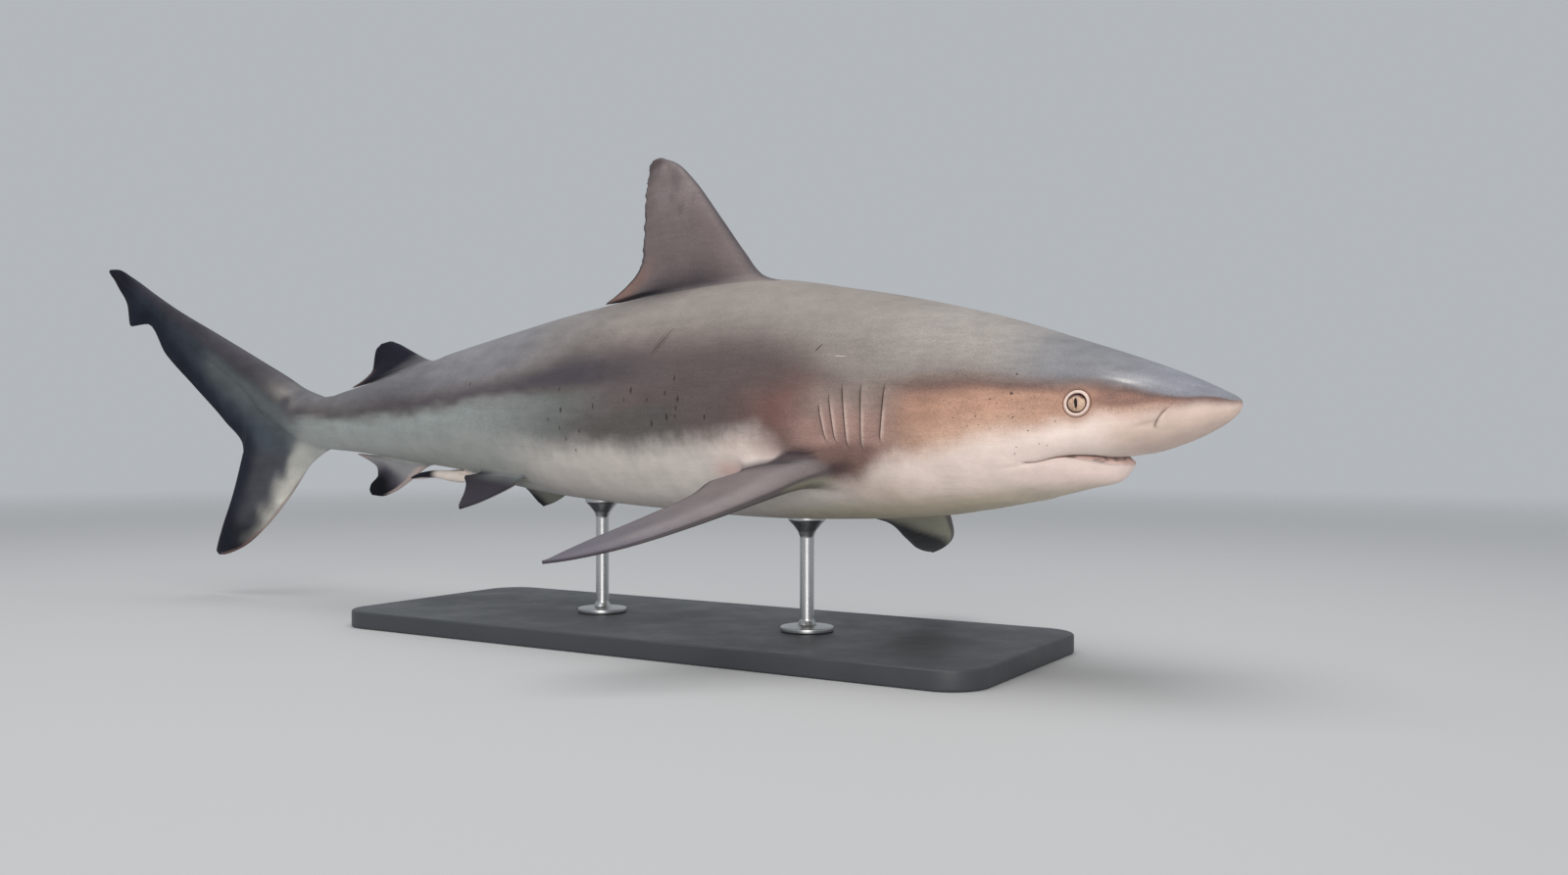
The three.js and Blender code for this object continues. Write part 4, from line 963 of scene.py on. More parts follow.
# %% Colours of the fins in the middle: 1 first dorsal, 2 second dorsal, 3 anal
mottle = noise(place, 0.9, 3)
tip_run = V + 0.03 * mottle
fin_coats = {
    1: coats(FIN_BROWN * 1.2, [
        # Painted shade along the fin's base, fading in behind the leading edge.
        (FIN_MAUVE * 0.7, 0.85 * bell(V - 0.02, 0.12) * after(U, 0.02, 0.35)
         * (1 - 0.5 * after(U, 0.6, 0.2))),
        (tone(134, 122, 122), 0.6 * after(tip_run, 0.3, 0.3) * until(U, 0.92, 0.3)),
        (tone(76, 66, 68), 0.85 * after(tip_run, 0.8, 0.14)),
        (tone(86, 76, 77), 0.4 * after(stretched(1, 1, 0.45, 0.9, 7), 0.05, 0.5) * after(V, 0.15, 0.1)),
        (tone(130, 98, 88), 0.7 * after(U, 0.72, 0.2) * until(V, 0.32, 0.2)),
        (FIN_MAUVE * 0.7, 0.85 * after(U + 0.01 * mottle, 0.965, 0.02) + 0.7 * until(U, 0.035, 0.03)),
        # Painted shadow: a black line under the free rear tip, where it stands off the back.
        (FIN_BLACK * 0.6, 0.92 * until(V, 0.07, 0.025) * after(U, 0.55, 0.2))]),
    2: coats(tone(31, 31, 42), [
        (BACK_REAR * 0.8, 0.8 * until(V + 0.3 * U, 0.34, 0.2)),
        (FIN_BLACK, 0.7 * after(tip_run + 0.4 * U, 0.62, 0.4)),
        (tone(110, 84, 80), 0.6 * after(U, 0.8, 0.15) * until(V, 0.45, 0.2))]),
    3: coats(tone(142, 142, 144), [
        (tone(66, 62, 74), after(tip_run + 0.2 * bell(U - 0.6, 0.35), 0.3, 0.32)),
        (FIN_BLACK * 0.35, after(tip_run + 0.14 * bell(U - 0.7, 0.3), 0.46, 0.3)),
        (tone(190, 172, 166), 0.85 * until(U, 0.12, 0.08) * until(V, 0.85, 0.2)),
        (tone(150, 126, 120), 0.6 * after(U, 0.75, 0.2) * until(V, 0.4, 0.15))])}
print("fins painted:", list(fin_coats))

# %% Colours of the paired fins above and below, and of the claspers: 4 pectoral, 5 pelvic, 6 claspers
above = after(FACE, -0.12, 0.24)
pectoral_top = coats(tone(112, 103, 102), [
    (tone(98, 93, 103), after(V, 0.3, 0.6)),
    # Painted highlight along the front of the upper face.
    (tone(132, 123, 122), 0.6 * bell(U - 0.2, 0.14) * until(V, 0.9, 0.3)),
    # Painted shade on the upper face at the root.
    (FIN_MAUVE * 0.65, 0.9 * after(U, 0.1, 0.3) * until(V, 0.15, 0.1)),
    (FIN_MAUVE * 0.6, 0.9 * after(U + 0.012 * mottle, 0.955, 0.03) + 0.6 * until(U, 0.02, 0.02))])
pectoral_under = coats(tone(166, 163, 144), [
    (FIN_BLACK * 0.3, after(tip_run + 0.62 * U, 0.66, 0.24)),
    (FIN_BLACK * 1.6, 0.85 * after(U + 0.04 * mottle, 0.86, 0.1)),
    (FIN_MAUVE * 1.3, 0.85 * until(U, np.where(Y < 0, 0.18, 0.1), 0.07) * after(V, 0.12, 0.1)),
    # Painted shade on the near fin's underside, at its root.
    (tone(122, 118, 106), 0.85 * until(V, 0.24, 0.1) * (Y < 0))])
pelvic_top = coats(tone(54, 50, 58), [
    (STALK_PALE * 0.8, 0.8 * until(V, 0.36, 0.26) * until(U, 0.9, 0.5)),
    (FIN_BLACK * 1.8, 0.8 * after(U + 0.03 * mottle, 0.9, 0.08) + 0.5 * until(U, 0.03, 0.02))])
pelvic_under = coats(tone(150, 150, 138), [(FIN_BLACK * 1.6, after(tip_run + 0.35 * U, 0.72, 0.35))])
dark_side = smooth((np.cos(2 * np.pi * U + 0.8) + 0.1 + 0.4 * mottle) / 0.3)
fin_coats[4] = mix(pectoral_under, pectoral_top, above[:, None])
fin_coats[5] = mix(pelvic_under, pelvic_top, above[:, None])
fin_coats[6] = coats(tone(222, 210, 202), [
    (FIN_BLACK, after(V, 0.56, 0.14) * dark_side),
    (FIN_BLACK, after(V, 0.93, 0.05))])
print("fins painted:", list(fin_coats))

# %% Painted shade in the hollows where the fins meet the body, a painted shadow under the first dorsal fin, and the fins themselves
is_body, is_pectoral = number == 0, number == 4
# Painted shade over the pectoral fin's thick root: dark at its crest, lighter further down, and a dark fold
# at its front.
root_top = monotone([
    (20.6, -4.6), (21.1, -3.9), (21.8, -2.8), (23.2, -2.05), (24.3, -2.0), (25.2, -2.15), (26, -2.5),
    (26.7, -3.0), (27.6, -3.5)])
root_drop = root_top(S) - H
over_root_shade = smooth(root_drop / (0.3 + 0.9 * until(S, 23.6, 2))) * after(S, 20.9, 0.6) * until(S, 27.3, 0.5)
over_root_shade = over_root_shade * np.where(is_pectoral, above, is_body & (H > -4.2)) * (V < 0.2)
root_shade_coat = mix(ROOT_SHADE_DARK, ROOT_SHADE_MAUVE, after(root_drop, 0.25, 0.7)[:, None])
# Painted shadow: a dark zone on the back under the first dorsal fin's rear half.
saddle_shadow = 0.6 * bell(S - 38.2, 3.5) * until(np.abs(Y), 4.3, 2.6) * (number < 2) * (H > 4)
root_fold_shade = 0.75 * bell(S - 21.4, 0.8) * bell(H + 3.2, 0.5) * (is_body | (V < 0.06) & is_pectoral)
fin = np.select([(number == k)[:, None] for k in fin_coats], list(fin_coats.values()), FIN_BROWN)
kinds = [is_pectoral, number == 1]
foot = np.select(kinds, [0.026, -0.012], 0.02)
fade = smooth((V - foot) / np.select(kinds, [0.03, 0.035], 0.07)) * ((number > 0) & (number < 7))
at_roots = [(ROOT_SHADE_DARK, root_fold_shade), (root_shade_coat, 0.92 * over_root_shade), (fin, fade)]
upper = coats(upper, [(FIN_MAUVE * 0.62, saddle_shadow)] + at_roots)
lower = coats(lower, at_roots)
print("points on fins and claspers:", int((fade > 0).sum()))


# %% Tail fin
def from_line(line, s, h):
    """Distance of points (s, h) from a polyline: the least over its segments of the distance to each."""
    a, b = np.array(line[:-1], float), np.array(line[1:], float)
    p = np.stack([s, h], axis=-1)[:, None, :]
    t = clamp(((p - a) * (b - a)).sum(-1) / ((b - a) ** 2).sum(-1))
    return np.sqrt((((a + t[..., None] * (b - a)) - p) ** 2).sum(-1)).min(axis=1)


on_tail = np.zeros(len(points), bool)
on_tail[BODY_ROWS * COLUMNS:body_points] = True
on_tail[-1] = True
TS, TH = S[on_tail], H[on_tail]
outlines = [[knot[1:] for knot in knots] for knots in (tail_bottom[:6], tail_bottom[6:], tail_top)]
to_lead, to_trail, to_top = (from_line(line, TS, TH) for line in outlines)
to_middle = from_line([(75, -0.6), (79, 0.9), (86, 4.6)], TS, TH)
tail_noise = noise(place[on_tail], 0.5, 5)
run_down = clamp((-TH - 2) / 9.5)
run_up = clamp((TS - 74) / 26) * (TH > -1)
pale_width = 2.3 * (1 - run_down) ** 0.8 + 0.4
tail = coats(tone(62, 69, 77), [
    (tone(32, 39, 51), run_up),
    (tone(104, 110, 110), 0.8 * bell(to_middle, 1.3) * (1 - 0.6 * run_up)),
    (mix(tone(74, 71, 76), tone(40, 39, 49), run_up[:, None]), until(to_top + 2.0 * run_up, 2.9, 1.3)),
    (tone(69, 70, 77), until(TH, -1.4, 2.4)),
    (FIN_BLACK * 0.6, 0.95 * until(TH - 0.4 * tail_noise, -6.2, 5)),
    (tone(22, 27, 39), 0.9 * until(to_trail - 0.4 * tail_noise, 2.6, 1.9)),
    (FIN_BLACK, 0.8 * until(to_trail, 0.35, 0.3) + 0.8 * after(TS, 96.5, 3)),
    (tone(190, 188, 180), until(to_lead - 0.45 * tail_noise, pale_width, 1.5) * until(run_down, 0.93, 0.2)
     * (TH < 0)),
    (tone(128, 96, 92), 0.55 * until(to_lead, 0.18, 0.14) * after(run_down, 0.15, 0.2)),
    (tone(158, 154, 147), 0.7 * bell(TS - 76, 2.4) * bell(TH - 0.4 * (TS - 74) - 0.9, 0.8)
     * after(tail_noise, -0.7, 1))])
tail = tail * (1 + 0.2 * noise(place[on_tail] * np.array([0.6, 1, 1]), 0.9, 11))[:, None]
tail_share = smooth((TS - 73.0 - 0.5 * tail_noise) / 5.0)
for coat in (upper, lower):
    coat[on_tail] = coats(coat[on_tail], [(tail, tail_share)])
print("tail painted; mean", tail.mean(axis=0).round(3))

# %% Lids and gums
lid_radius = np.where(number == 7, U, 9.0)
gum_coat = mix(GUM_PINK, GUM_PINK * 0.4, after(noise(place, 4.0, 8), 0.2, 0.4)[:, None])
over_all = [
    (HEAD_TAN * 0.92, 0.35 * until(lid_radius, 1.3, 0.4)),
    # Painted shade: a dark line in the groove round the lid, and darkness in the socket behind the ball.
    (LID_GROOVE_SHADE, 0.75 * bell(lid_radius - 0.765, 0.03)),
    (LID_BEIGE, until(lid_radius, 0.725, 0.03)),
    (LID_GROOVE_SHADE * 0.35, until(lid_radius, 0.555, 0.02)),
    (gum_coat, 0.9 * on_all_points(gum_zone))]
upper, lower = coats(upper, over_all), coats(lower, over_all)
print("mean upper colour", upper.mean(axis=0).round(3), "lower", lower.mean(axis=0).round(3))

# %% Where the fine marks may show, and the values for the mesh
edge_run = (H - pale_edge(S)) / edge_width(S)
pores = after(H, pale_edge(S) - 0.1, 0.3) * until(over_line, 0.1, 0.08)
pores = clamp(1.8 * pores * after(S, 2.4, 1.2) * until(S, 6.5, 0.4))
freckles = after(S, 8.6, 1) * until(S, 18, 4) * bell(up_share - 0.4, 0.13)
low_share = after(up_share, 0, 0.1) * until(up_share, 0.45, 0.1)
freckles = clamp(freckles + 0.35 * after(S, 8.6, 1) * until(S, 15.5, 3) * low_share)
for name, colours in (("upper", upper), ("lower", lower)):
    keep(skin_piece, name, np.column_stack([colours, np.ones(len(points))]), "FLOAT_COLOR", "color")
for name, values in (("edge", edge_run), ("crease_shade", on_all_points(crease_shade)), ("pores", pores),
                     ("freckles", freckles)):
    keep(skin_piece, name, values)
keep(skin_piece, "place", place, "FLOAT_VECTOR", "vector")
print("attributes", [a.name for a in skin_piece.data.attributes])

# %% [markdown]
# ## The skin's material
# A shark's skin is sandpaper: tiny teeth that lie flat and give a fine, matt grain. The material joins the
# painted colours with noise at three scales, and adds what is too fine for the mesh: the streaks along the
# white belly, dark oval spots, a few healed scratches and the pores that sense electric fields.

# %% Node helpers: they all add to `tree`, the tree of the material made last
def new_material(name):
    material = bpy.data.materials.new(name)
    material.use_nodes = True
    return material, material.node_tree, material.node_tree.nodes["Principled BSDF"]


def fill(node, inputs):
    """Links each named socket of the node to another socket, or sets its value."""
    for key, value in inputs.items():
        if isinstance(value, bpy.types.NodeSocket):
            tree.links.new(value, node.inputs[key])
        else:
            node.inputs[key].default_value = value


def add(kind, inputs=None, **settings):
    made = tree.nodes.new("ShaderNode" + kind)
    for key, value in settings.items():
        setattr(made, key, value)
    fill(made, inputs or {})
    return made


def calc(operation, *values, clamp_it=False):
    return add("Math", dict(enumerate(values)), operation=operation, use_clamp=clamp_it).outputs[0]


def plus(a, b):
    return calc("ADD", a, b)


def minus(a, b):
    return calc("SUBTRACT", a, b)


def times(a, b):
    return calc("MULTIPLY", a, b)


def about_one(value, strength):
    """1 plus strength times the value."""
    return plus(times(value, strength), 1.0)


def blend(under, over, amount, blend_type="MIX"):
    return add("Mix", {0: amount, 6: under, 7: over}, data_type="RGBA", blend_type=blend_type).outputs[2]


def ramp(value, low, high, start=0.0, end=1.0):
    settings = {0: value, 1: low, 2: high, 3: start, 4: end}
    return add("MapRange", settings, interpolation_type="SMOOTHSTEP").outputs[0]


def attribute(name, output="Fac"):
    return add("Attribute", attribute_name=name).outputs[output]


def cloud(vector, scale, detail=3.0, rough=0.5):
    """Blender's noise, whose values lie about 0.5."""
    settings = {"Vector": vector, "Scale": scale, "Detail": detail, "Roughness": rough}
    return add("TexNoise", settings).outputs["Fac"]


def wave(*settings):
    """The same about 0."""
    return minus(cloud(*settings), 0.5)


def stretch(vector, scale, rotation=(0.0, 0.0, 0.0)):
    return add("Mapping", {"Vector": vector, "Rotation": rotation, "Scale": scale}).outputs[0]


def bumped(strength, distance, height, **more):
    return add("Bump", {"Strength": strength, "Distance": distance, "Height": height, **more}).outputs[0]


def opaque(r, g, b):
    """A tone with the alpha of 1 that a colour socket wants."""
    return (*tone(r, g, b), 1)


# %% Skin: the countershading line with its streaks
skin_material, tree, bsdf = new_material("shark_skin")
here = add("TexCoord").outputs["Object"]
where = attribute("place", "Vector")
streaks = wave(stretch(where, (6.0, 0.3, 0.5)), 1.0, 3.0, 0.6)
patches = wave(where, 0.5, 4.0, 0.6)
edge = plus(plus(attribute("edge"), times(streaks, 0.28)), times(patches, 2.2))
is_upper = ramp(edge, -1.7, 1.7)
coat = blend(attribute("lower", "Color"), attribute("upper", "Color"), is_upper)
print("nodes for the line", len(tree.nodes))

# %% Skin: grain, mottling, flow lines and the painted light and shade of the shoulder's wrinkles
grain = cloud(here, 640.0, 2.0, 0.6)
grain_value = about_one(minus(grain, 0.5), ramp(is_upper, 0.0, 1.0, 0.14, 0.85))
mottling = about_one(wave(here, 34.0, 5.0, 0.62), 0.42)
flow_frame = stretch(where, (0.3, 0.4, 1.6), (0.0, 0.35, 0.0))
flow = about_one(wave(flow_frame, 1.0, 4.0, 0.55), ramp(is_upper, 0.0, 1.0, 0.06, 0.3))
along, across, height = add("SeparateXYZ", {0: where}).outputs
flat = add("CombineXYZ", {0: along, 1: height}).outputs[0]
# Painted light and shade: the shoulder's wrinkles are light and dark bands in the colour only.
wrinkle_shading = wave(stretch(where, (0.9, 0.9, 3.4), (0.0, 0.32, 0.0)), 1.0, 2.0, 0.5)
wrinkle_shading = about_one(wrinkle_shading, times(times(ramp(along, 27.0, 17.0), is_upper), 0.34))
shade = times(times(grain_value, mottling), times(flow, wrinkle_shading))
coat = blend(coat, add("CombineColor", {0: shade, 1: shade, 2: shade}).outputs[0], 1.0, "MULTIPLY")
print("nodes with the grain", len(tree.nodes))

# %% Skin: spots, freckles and scratches, at station, height and size
SPOTS = [
    (36.92, 1.49, 1.1), (35.47, 0.87, 0.7), (33.96, 1.25, 0.8), (32.89, 0.89, 1.0), (33.04, 0.3, 0.7),
    (33.8, -0.23, 1.1), (35.09, -0.62, 1.0), (33.27, 2.19, 0.9), (30.77, -0.25, 0.8), (43.44, 0.32, 1.1),
    (43.6, -0.87, 0.7), (44.73, -0.28, 0.6), (41.7, -1.07, 0.7), (40.33, 0.55, 0.8), (43.06, -1.6, 0.6),
    (42.31, -2.35, 0.5), (43.67, 1.73, 0.7), (53.62, 2.36, 0.7), (33.1, -0.2, 0.6), (37.5, 0.9, 0.5)]
FRECKLES = [
    (10.71, 1.88, 1.3), (10.85, 0.85, 1.9), (12.0, 0.56, 1.1), (14.07, -0.43, 0.9), (12.78, -0.35, 1.0),
    (10.71, -0.41, 1.1), (13.23, -0.87, 0.7), (8.47, -0.66, 0.8), (9.89, -1.14, 0.8), (9.36, -1.83, 0.7),
    (8.97, -1.91, 0.6), (10.57, -2.02, 0.7), (10.71, -2.36, 0.8), (14.52, 1.25, 0.7), (9.62, 1.24, 0.7),
    (11.13, -1.29, 0.6), (11.56, -0.39, 0.6), (12.15, -0.76, 0.5), (13.5, 0.4, 0.6), (9.2, 0.9, 0.6)]
CUTS = [(35.0, 4.52, -50.6, 1.35, 0.07), (34.9, 4.33, -50.6, 1.1, 0.035), (35.1, 4.75, -52, 0.9, 0.03),
        (22.95, 3.72, -48, 0.36, 0.06)]
PALE_CUT = (21.4, 3.17, 5, 0.45, 0.022)


def speckle(marks, width, tall):
    """The least distance to any mark, each mark a small oval: 1 inside and 0 outside."""
    scaled = add("VectorMath", {0: flat, 1: (1 / width, 1 / tall, 0)}, operation="MULTIPLY").outputs[0]
    nearest = None
    for s, h, size in marks:
        middle = (s / width, h / tall, 0)
        far = add("VectorMath", {0: scaled, 1: middle}, operation="DISTANCE").outputs["Value"]
        far = calc("DIVIDE", far, size)
        nearest = far if nearest is None else calc("MINIMUM", nearest, far)
    return ramp(plus(nearest, times(wave(where, 9.0), 1.2)), 1.25, 0.6)


def scratch(s, h, slope, half_length, half_width):
    """One healed cut: an oval many times longer than wide, turned by slope degrees."""
    local = add("Mapping", {"Vector": flat, "Location": (s, h, 0), "Rotation": (0, 0, np.radians(slope)),
                            "Scale": (half_length, half_width, 1)}, vector_type="TEXTURE").outputs[0]
    far = add("VectorMath", {0: local}, operation="LENGTH").outputs["Value"]
    return ramp(far, 1.1, 0.5)


def dots(vector, kind, scale, radius, share, where_they_are):
    """Dots of random size in a share of the cells of a Voronoi pattern, where an attribute lets them show."""
    cells = add("TexVoronoi", {"Vector": vector, "Scale": scale, "Randomness": 1.0}, voronoi_dimensions=kind)
    chance = add("SeparateColor", {0: cells.outputs["Color"]}).outputs[0]
    shown = ramp(plus(chance, attribute(where_they_are)), 2.0 - share, 2.05 - share)
    size = times(plus(chance, 0.2), radius)
    return times(ramp(minus(cells.outputs["Distance"], size), 0.05, -0.05), shown)


right_side = calc("LESS_THAN", across, 0.0)
dark_marks = calc("MAXIMUM", speckle(SPOTS, 0.095, 0.22), speckle(FRECKLES, 0.05, 0.045))
for cut in CUTS:
    dark_marks = calc("MAXIMUM", dark_marks, scratch(*cut))
dark_marks = times(dark_marks, right_side)
light_marks = times(scratch(*PALE_CUT), right_side)
small_dots = calc("MAXIMUM", dots(flat, "2D", 13.0, 0.19, 0.95, "pores"),
                  dots(here, "3D", 300.0, 0.18, 0.85, "freckles"))
dark_marks = calc("MAXIMUM", dark_marks, times(small_dots, 0.8))
coat = blend(coat, opaque(58, 40, 35), times(dark_marks, 0.84))
coat = blend(coat, opaque(214, 206, 196), times(light_marks, 0.8))
# Painted shade in the creases: slits, nostrils, folds and the gum's edge are darkened.
coat = blend(coat, opaque(46, 34, 34), times(attribute("crease_shade"), 0.9))
print("nodes with the marks", len(tree.nodes))

# %% Skin: matt sheen and bump
bump = bumped(0.35, 0.0006, grain)
bump = bumped(0.3, 0.002, cloud(flow_frame, 2.0, 3.0, 0.6), Normal=bump)
fill(bsdf, {"Base Color": coat, "IOR": 1.35, "Normal": bump,
            "Specular IOR Level": ramp(coat, 0.0, 0.06, 0.2, 0.5),
            "Roughness": ramp(grain, 0.3, 0.7, 0.50, 0.62)})
skin_piece.data.materials.append(skin_material)
print("skin material with", len(tree.nodes), "nodes")

# %% [markdown]
# ## Camera, floor and light
# The camera stands to the shark's right, a little ahead of the snout and below the axis, and looks level.
# The light is broad and soft from above, as in a clear sea, with a warmer, wide lamp on the near side. Large
# area lamps give it with little noise. The floor fades out with distance, so that its far edge stays soft.

# %% Camera and view
scene = bpy.context.scene
scene.view_settings.view_transform = "Standard"
AZIMUTH = np.radians(31.5)
SNOUT = in_metres([0, 0, 0])
camera_data = bpy.data.cameras.new("camera")
camera_data.sensor_width = 36
camera_data.lens = 30.375
camera = bpy.data.objects.new("camera", camera_data)
camera.location = (SNOUT[0] + 0.3053, SNOUT[1] - 1.4150, AXIS_HEIGHT - 0.03)
camera.rotation_euler = (np.pi / 2, 0, AZIMUTH)
scene.collection.objects.link(camera)
scene.camera = camera
print("the camera stands at", [round(v, 3) for v in camera.location])

# %% Floor and light
floor_mesh = bpy.data.meshes.new("floor")
floor_mesh.from_pydata([(-30, -30, 0), (30, -30, 0), (30, 30, 0), (-30, 30, 0)], [], [(0, 1, 2, 3)])
floor = bpy.data.objects.new("floor", floor_mesh)
scene.collection.objects.link(floor)
floor_paint, tree, bsdf = new_material("floor_paint")
far = add("VectorMath", {0: add("TexCoord").outputs["Object"]}, operation="LENGTH").outputs["Value"]
fill(bsdf, {"Base Color": (0.5, 0.5, 0.5, 1), "Roughness": 0.7, "Alpha": ramp(far, 1.8, 6.0, 1.0, 0.0)})
floor_mesh.materials.append(floor_paint)
scene.world = bpy.data.worlds.new("studio")
scene.world.use_nodes = True
sky = scene.world.node_tree.nodes["Background"]
sky.inputs["Color"].default_value = (0.9, 0.95, 1, 1)
sky.inputs["Strength"].default_value = 0.5


def soft_light(name, place, target, size, watts, colour=(1, 1, 1)):
    """A square area light that faces its target."""
    data = bpy.data.lights.new(name, "AREA")
    data.size = size
    data.energy = watts
    data.color = colour
    lamp = bpy.data.objects.new(name, data)
    lamp.location = place
    lamp.rotation_euler = (Vector(target) - Vector(place)).to_track_quat("-Z", "Y").to_euler()
    scene.collection.objects.link(lamp)


soft_light("over", (0.2, -0.3, 3.2), (0, 0, 0.3), 3.0, 72)
soft_light("near", (3.0, -4.4, 1.3), (0.5, 0, 0.3), 2.7, 122, (1.0, 0.955, 0.91))
print("floor and lamps placed")

# %% [markdown]
# ## Eyeballs
# The eye is a globe with a pale iris and a narrow upright pupil, with a thin clear coat for a little gloss.
# The pattern is painted by the shader on coordinates that run from the pupil's middle, because a drawn
# outline stays sharp at any distance, while colours kept on the mesh's points would blur.

# %% Globes
def ring_faces(rings, around, flip=False):
    """Quads between rings of points, and a fan of triangles from each end ring to the two pole points.

    The two poles are the points after the rings. flip turns the faces over, for rings laid the other way."""
    a = np.arange(rings * around).reshape(rings, around)
    next_a = np.roll(a, -1, axis=1)
    quads = np.stack([a[:-1], next_a[:-1], next_a[1:], a[1:]], axis=-1).reshape(-1, 4)
    first, last = (np.full(around, pole) for pole in (a.size, a.size + 1))
    caps = np.concatenate([np.stack([first, next_a[0], a[0]], -1), np.stack([last, a[-1], next_a[-1]], -1)])
    return (quads[:, [0, 3, 2, 1]], caps[:, [0, 2, 1]]) if flip else (quads, caps)


def ball(name, centre, outward, radius, rings=39, around=64):
    """A globe as a grid of rings round the axis that looks outwards, with the pole in the pupil's middle."""
    lat = np.linspace(0, np.pi, rings + 2)[1:-1, None, None]
    lon = np.linspace(0, 2 * np.pi, around, endpoint=False)[:, None]
    axis = outward / np.linalg.norm(outward)
    side = np.cross([0, 0, 1], axis)
    side /= np.linalg.norm(side)
    up = np.cross(axis, side)
    ring = np.cos(lat) * axis + np.sin(lat) * (np.cos(lon) * side + np.sin(lon) * up)
    globe = np.concatenate([ring.reshape(-1, 3), axis[None], -axis[None]])
    piece = mesh_piece(name, globe * radius + centre, *ring_faces(rings, around, flip=True))
    iris = globe * (radius / (APERTURE * PERCENT)) @ np.stack([side, up, axis], axis=-1)
    keep(piece, "iris", iris, "FLOAT_VECTOR", "vector")
    return piece


eyeballs = {}
for side, name in ((LEFT, "left"), (RIGHT, "right")):
    centre, outward = eye_frames[side]
    middle, tip = in_metres([centre, centre + outward * 0.1])
    eyeballs[name] = ball("eyeball_" + name, middle, tip - middle, EYE_RADIUS * PERCENT)
    print("eye", name, middle.round(4))

# %% Iris, its dark rim, the painted shadow of the lid as a brown arc over it, and the slit of the pupil
eye_material, tree, bsdf = new_material("eye_iris")
iris = attribute("iris", "Vector")
eye_x, eye_y, _ = add("SeparateXYZ", {0: iris}).outputs
disc = add("CombineXYZ", {0: eye_x, 1: eye_y}).outputs[0]
from_pupil = add("VectorMath", {0: disc}, operation="LENGTH").outputs["Value"]
threads = cloud(stretch(iris, (3.0, 1.1, 1.0)), 2.4, 4.0, 0.6)
colour = blend(opaque(160, 128, 112), opaque(208, 176, 150), ramp(threads, 0.26, 0.7))
# Painted highlight: one side of the iris is lighter.
colour = blend(colour, opaque(226, 198, 170), times(ramp(eye_x, 0.0, 0.75), 0.5))
# Painted shadow of the upper lid: a brown arc over the top of the iris.
arc = times(ramp(eye_y, 0.28, 0.62), ramp(from_pupil, 0.6, 0.74))
colour = blend(colour, opaque(92, 56, 50), times(arc, 0.95))
colour = blend(colour, opaque(50, 24, 20), ramp(from_pupil, 0.85, 0.92))
# The pupil is a tall oval: its half width at height y is 0.17 times the root of 1 - (y / 0.56) squared.
lean = calc("ABSOLUTE", plus(plus(eye_x, 0.04), times(eye_y, 0.07)))
open_to = calc("POWER", calc("DIVIDE", calc("ABSOLUTE", eye_y), 0.56), 2.0)
open_to = times(calc("SQRT", calc("SUBTRACT", 1.0, open_to, clamp_it=True)), 0.17)
colour = blend(colour, opaque(20, 12, 10), ramp(minus(lean, open_to), 0.02, -0.02))
fill(bsdf, {"Base Color": colour, "Roughness": 0.3, "Coat Weight": 0.1, "Coat Roughness": 0.04,
            "Specular IOR Level": 0.25})
for name, eyeball in eyeballs.items():
    eyeball.data.materials.append(eye_material)
    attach(eyeball, "root")
    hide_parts("eye_" + name)
print("eye material with", len(tree.nodes), "nodes")

# %% [markdown]
# ## The display stand
# The base is a thick steel plate, powder-coated in dark grey, and each rod is turned from stainless steel,
# with a foot flange and a cup that holds the belly. A turned part is a profile spun round an axis, which
# numpy does for all angles at once. Its corners are rounded in the profile, because light catches each edge.

# %% Turned rods with their cups
BASE_THICK, ROD_RADIUS, FLANGE_RADIUS, CUP_RADIUS = 0.024, 0.009, 0.034, 0.024
ROD_STATIONS = {"front": 27.5, "rear": 44.5}
GAP = 0.0004


def rounded(profile, radius, steps=4):
    """Each inner corner of a profile of (r, z) points becomes a small arc, a quadratic Bezier."""
    p = np.array(profile, float)
    before, corner, behind = p[:-2], p[1:-1], p[2:]
    a, b = (mix(corner, q, np.minimum(radius / np.linalg.norm(q - corner, axis=1), 0.45)[:, None])
            for q in (before, behind))
    t = np.linspace(0, 1, steps + 1)[None, :, None]
    arcs = (1 - t) ** 2 * a[:, None] + 2 * t * (1 - t) * corner[:, None] + t**2 * b[:, None]
    return np.concatenate([p[:1], arcs.reshape(-1, 2), p[-1:]])


def ringed_piece(name, rings, poles):
    """A piece of rings (n, k, 3) between two pole points: its sides are shaded smooth and its caps flat."""
    quads, caps = ring_faces(*rings.shape[:2])
    piece = mesh_piece(name, np.concatenate([rings.reshape(-1, 3), poles]), quads, caps)
    piece.data.polygons.foreach_set("use_smooth", np.arange(len(quads) + len(caps)) < len(quads))
    piece.data.update()
    return piece


def turned(name, profile, x, y, around=64):
    """The profile (r, z) spun about the upright line through (x, y); its ends, on the axis, close it."""
    angle = 2 * np.pi * np.arange(around) / around
    r, z = profile[1:-1].T[..., None]
    ring = np.stack([x + r * np.cos(angle), y + r * np.sin(angle), z + 0 * angle], axis=-1)
    return ringed_piece(name, ring, [[x, y, profile[0, 1]], [x, y, profile[-1, 1]]])


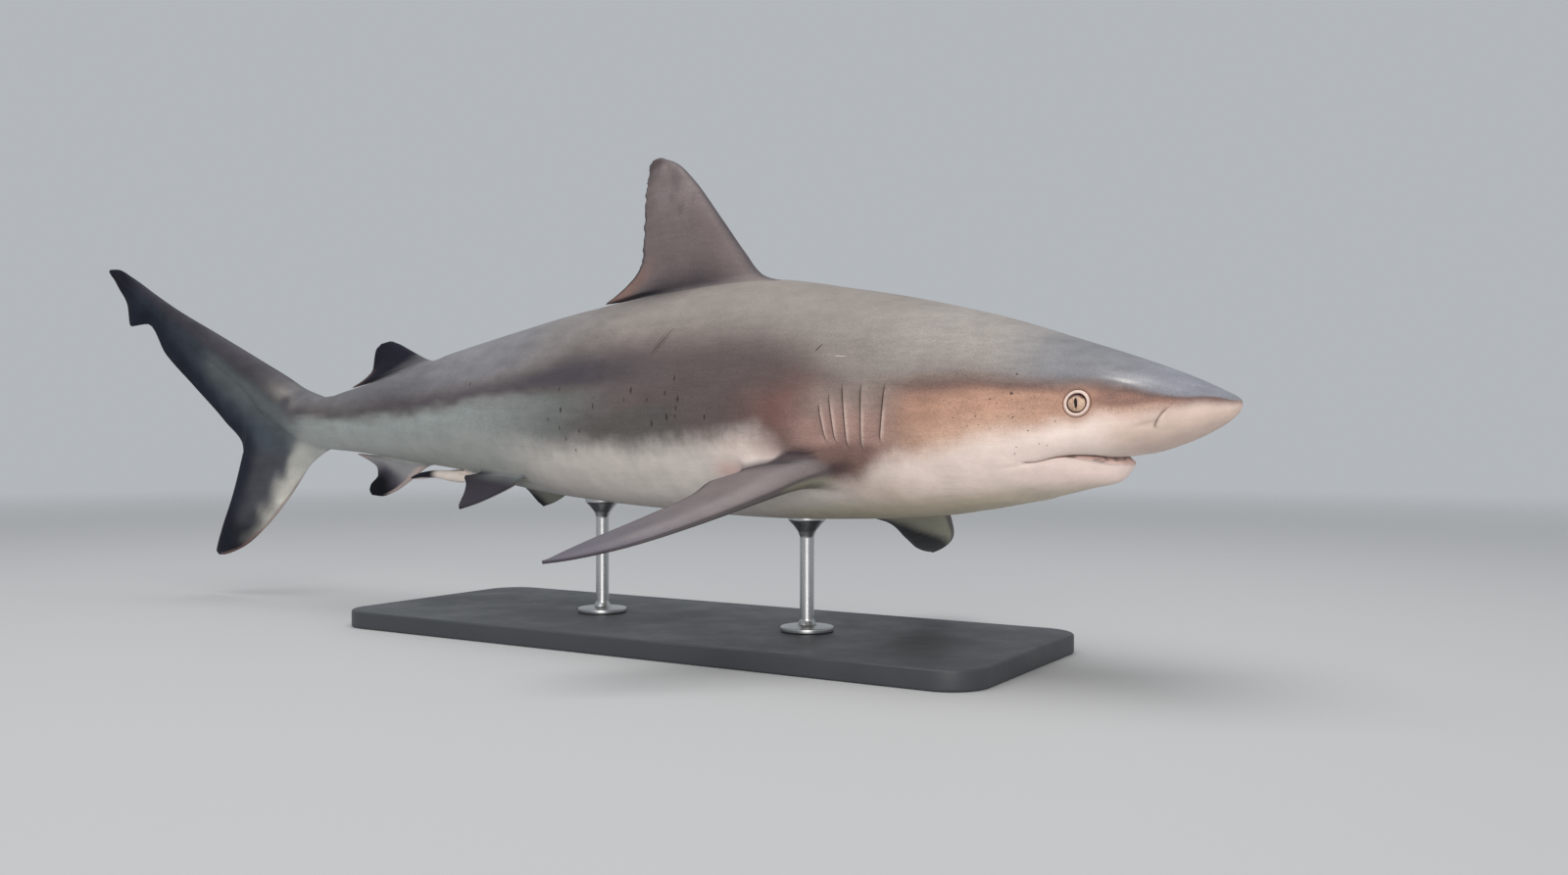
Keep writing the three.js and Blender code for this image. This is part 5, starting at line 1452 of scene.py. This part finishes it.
steel, tree, bsdf = new_material("brushed_steel")
here = add("TexCoord").outputs["Object"]
turning = cloud(stretch(here, (14.0, 14.0, 2600.0)), 1.0, 3.0, 0.6)
smudges = cloud(here, 30.0, 4.0, 0.6)
fill(bsdf, {"Base Color": blend(opaque(176, 178, 180), opaque(206, 207, 208), turning), "Metallic": 1.0,
            "Roughness": plus(ramp(turning, 0.3, 0.7, 0.2, 0.34), times(smudges, 0.12)),
            "Normal": bumped(0.25, 0.0001, turning)})
for name, at in ROD_STATIONS.items():
    x, y, top = in_metres([at, 0, belly(at) + 0.5])
    z = BASE_THICK + GAP
    profile = rounded([
        (0, z), (FLANGE_RADIUS, z), (FLANGE_RADIUS, z + 0.006), (ROD_RADIUS + 0.004, z + 0.0075),
        (ROD_RADIUS, z + 0.014), (ROD_RADIUS, top - 0.034), (ROD_RADIUS + 0.003, top - 0.026),
        (CUP_RADIUS * 0.75, top - 0.0185), (CUP_RADIUS, top - 0.0125), (CUP_RADIUS, top - 0.001),
        (CUP_RADIUS - 0.002, top), (0, top)], 0.0016)
    rod = turned("steel_rod_" + name, profile, x, y)
    rod.data.materials.append(steel)
    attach(rod, "root")
    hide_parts("stand_rod_" + name)
    print("rod", name, "at", round(float(x), 4), "with", len(rod.data.polygons), "faces")

# %% The base plate: one rounded rectangle for each level, drawn in where the edges are rounded
PLATE_LENGTH, PLATE_WIDTH, PLATE_CORNER, PLATE_EDGE, PLATE_STATION = 0.98, 0.36, 0.05, 0.003, 37
plate_x = in_metres([PLATE_STATION, 0, 0])[0]
quarter = np.radians(np.linspace(0, 90, 17))
corners = np.concatenate([quarter + np.pi / 2 * k for k in range(4)])
sign_x, sign_y = np.repeat([[1, -1, -1, 1], [1, 1, -1, -1]], len(quarter), axis=1)
arc = np.radians(np.linspace(0, 90, 7))
inset, rise = PLATE_EDGE * (1 - np.cos(arc)), PLATE_EDGE * (1 - np.sin(arc))
insets = np.concatenate([inset[::-1], inset])[:, None]
heights = np.concatenate([rise[::-1], BASE_THICK - rise])[:, None]
rings = np.stack(np.broadcast_arrays(
    plate_x + sign_x * (PLATE_LENGTH / 2 - PLATE_CORNER) + (PLATE_CORNER - insets) * np.cos(corners),
    sign_y * (PLATE_WIDTH / 2 - PLATE_CORNER) + (PLATE_CORNER - insets) * np.sin(corners), heights), axis=-1)
plate = ringed_piece("base_plate", rings, [[plate_x, 0, 0], [plate_x, 0, BASE_THICK]])
coated, tree, bsdf = new_material("powder_coat")
here = add("TexCoord").outputs["Object"]
dust = cloud(here, 14.0, 5.0, 0.6)
fill(bsdf, {"Base Color": blend(opaque(52, 55, 59), opaque(64, 67, 71), dust),
            "Roughness": ramp(dust, 0.3, 0.7, 0.42, 0.56),
            "Normal": bumped(0.3, 0.0002, cloud(here, 900.0, 2.0, 0.5))})
plate.data.materials.append(coated)
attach(plate, "root")
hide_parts("stand_base")
print("base plate", len(plate.data.polygons), "faces")
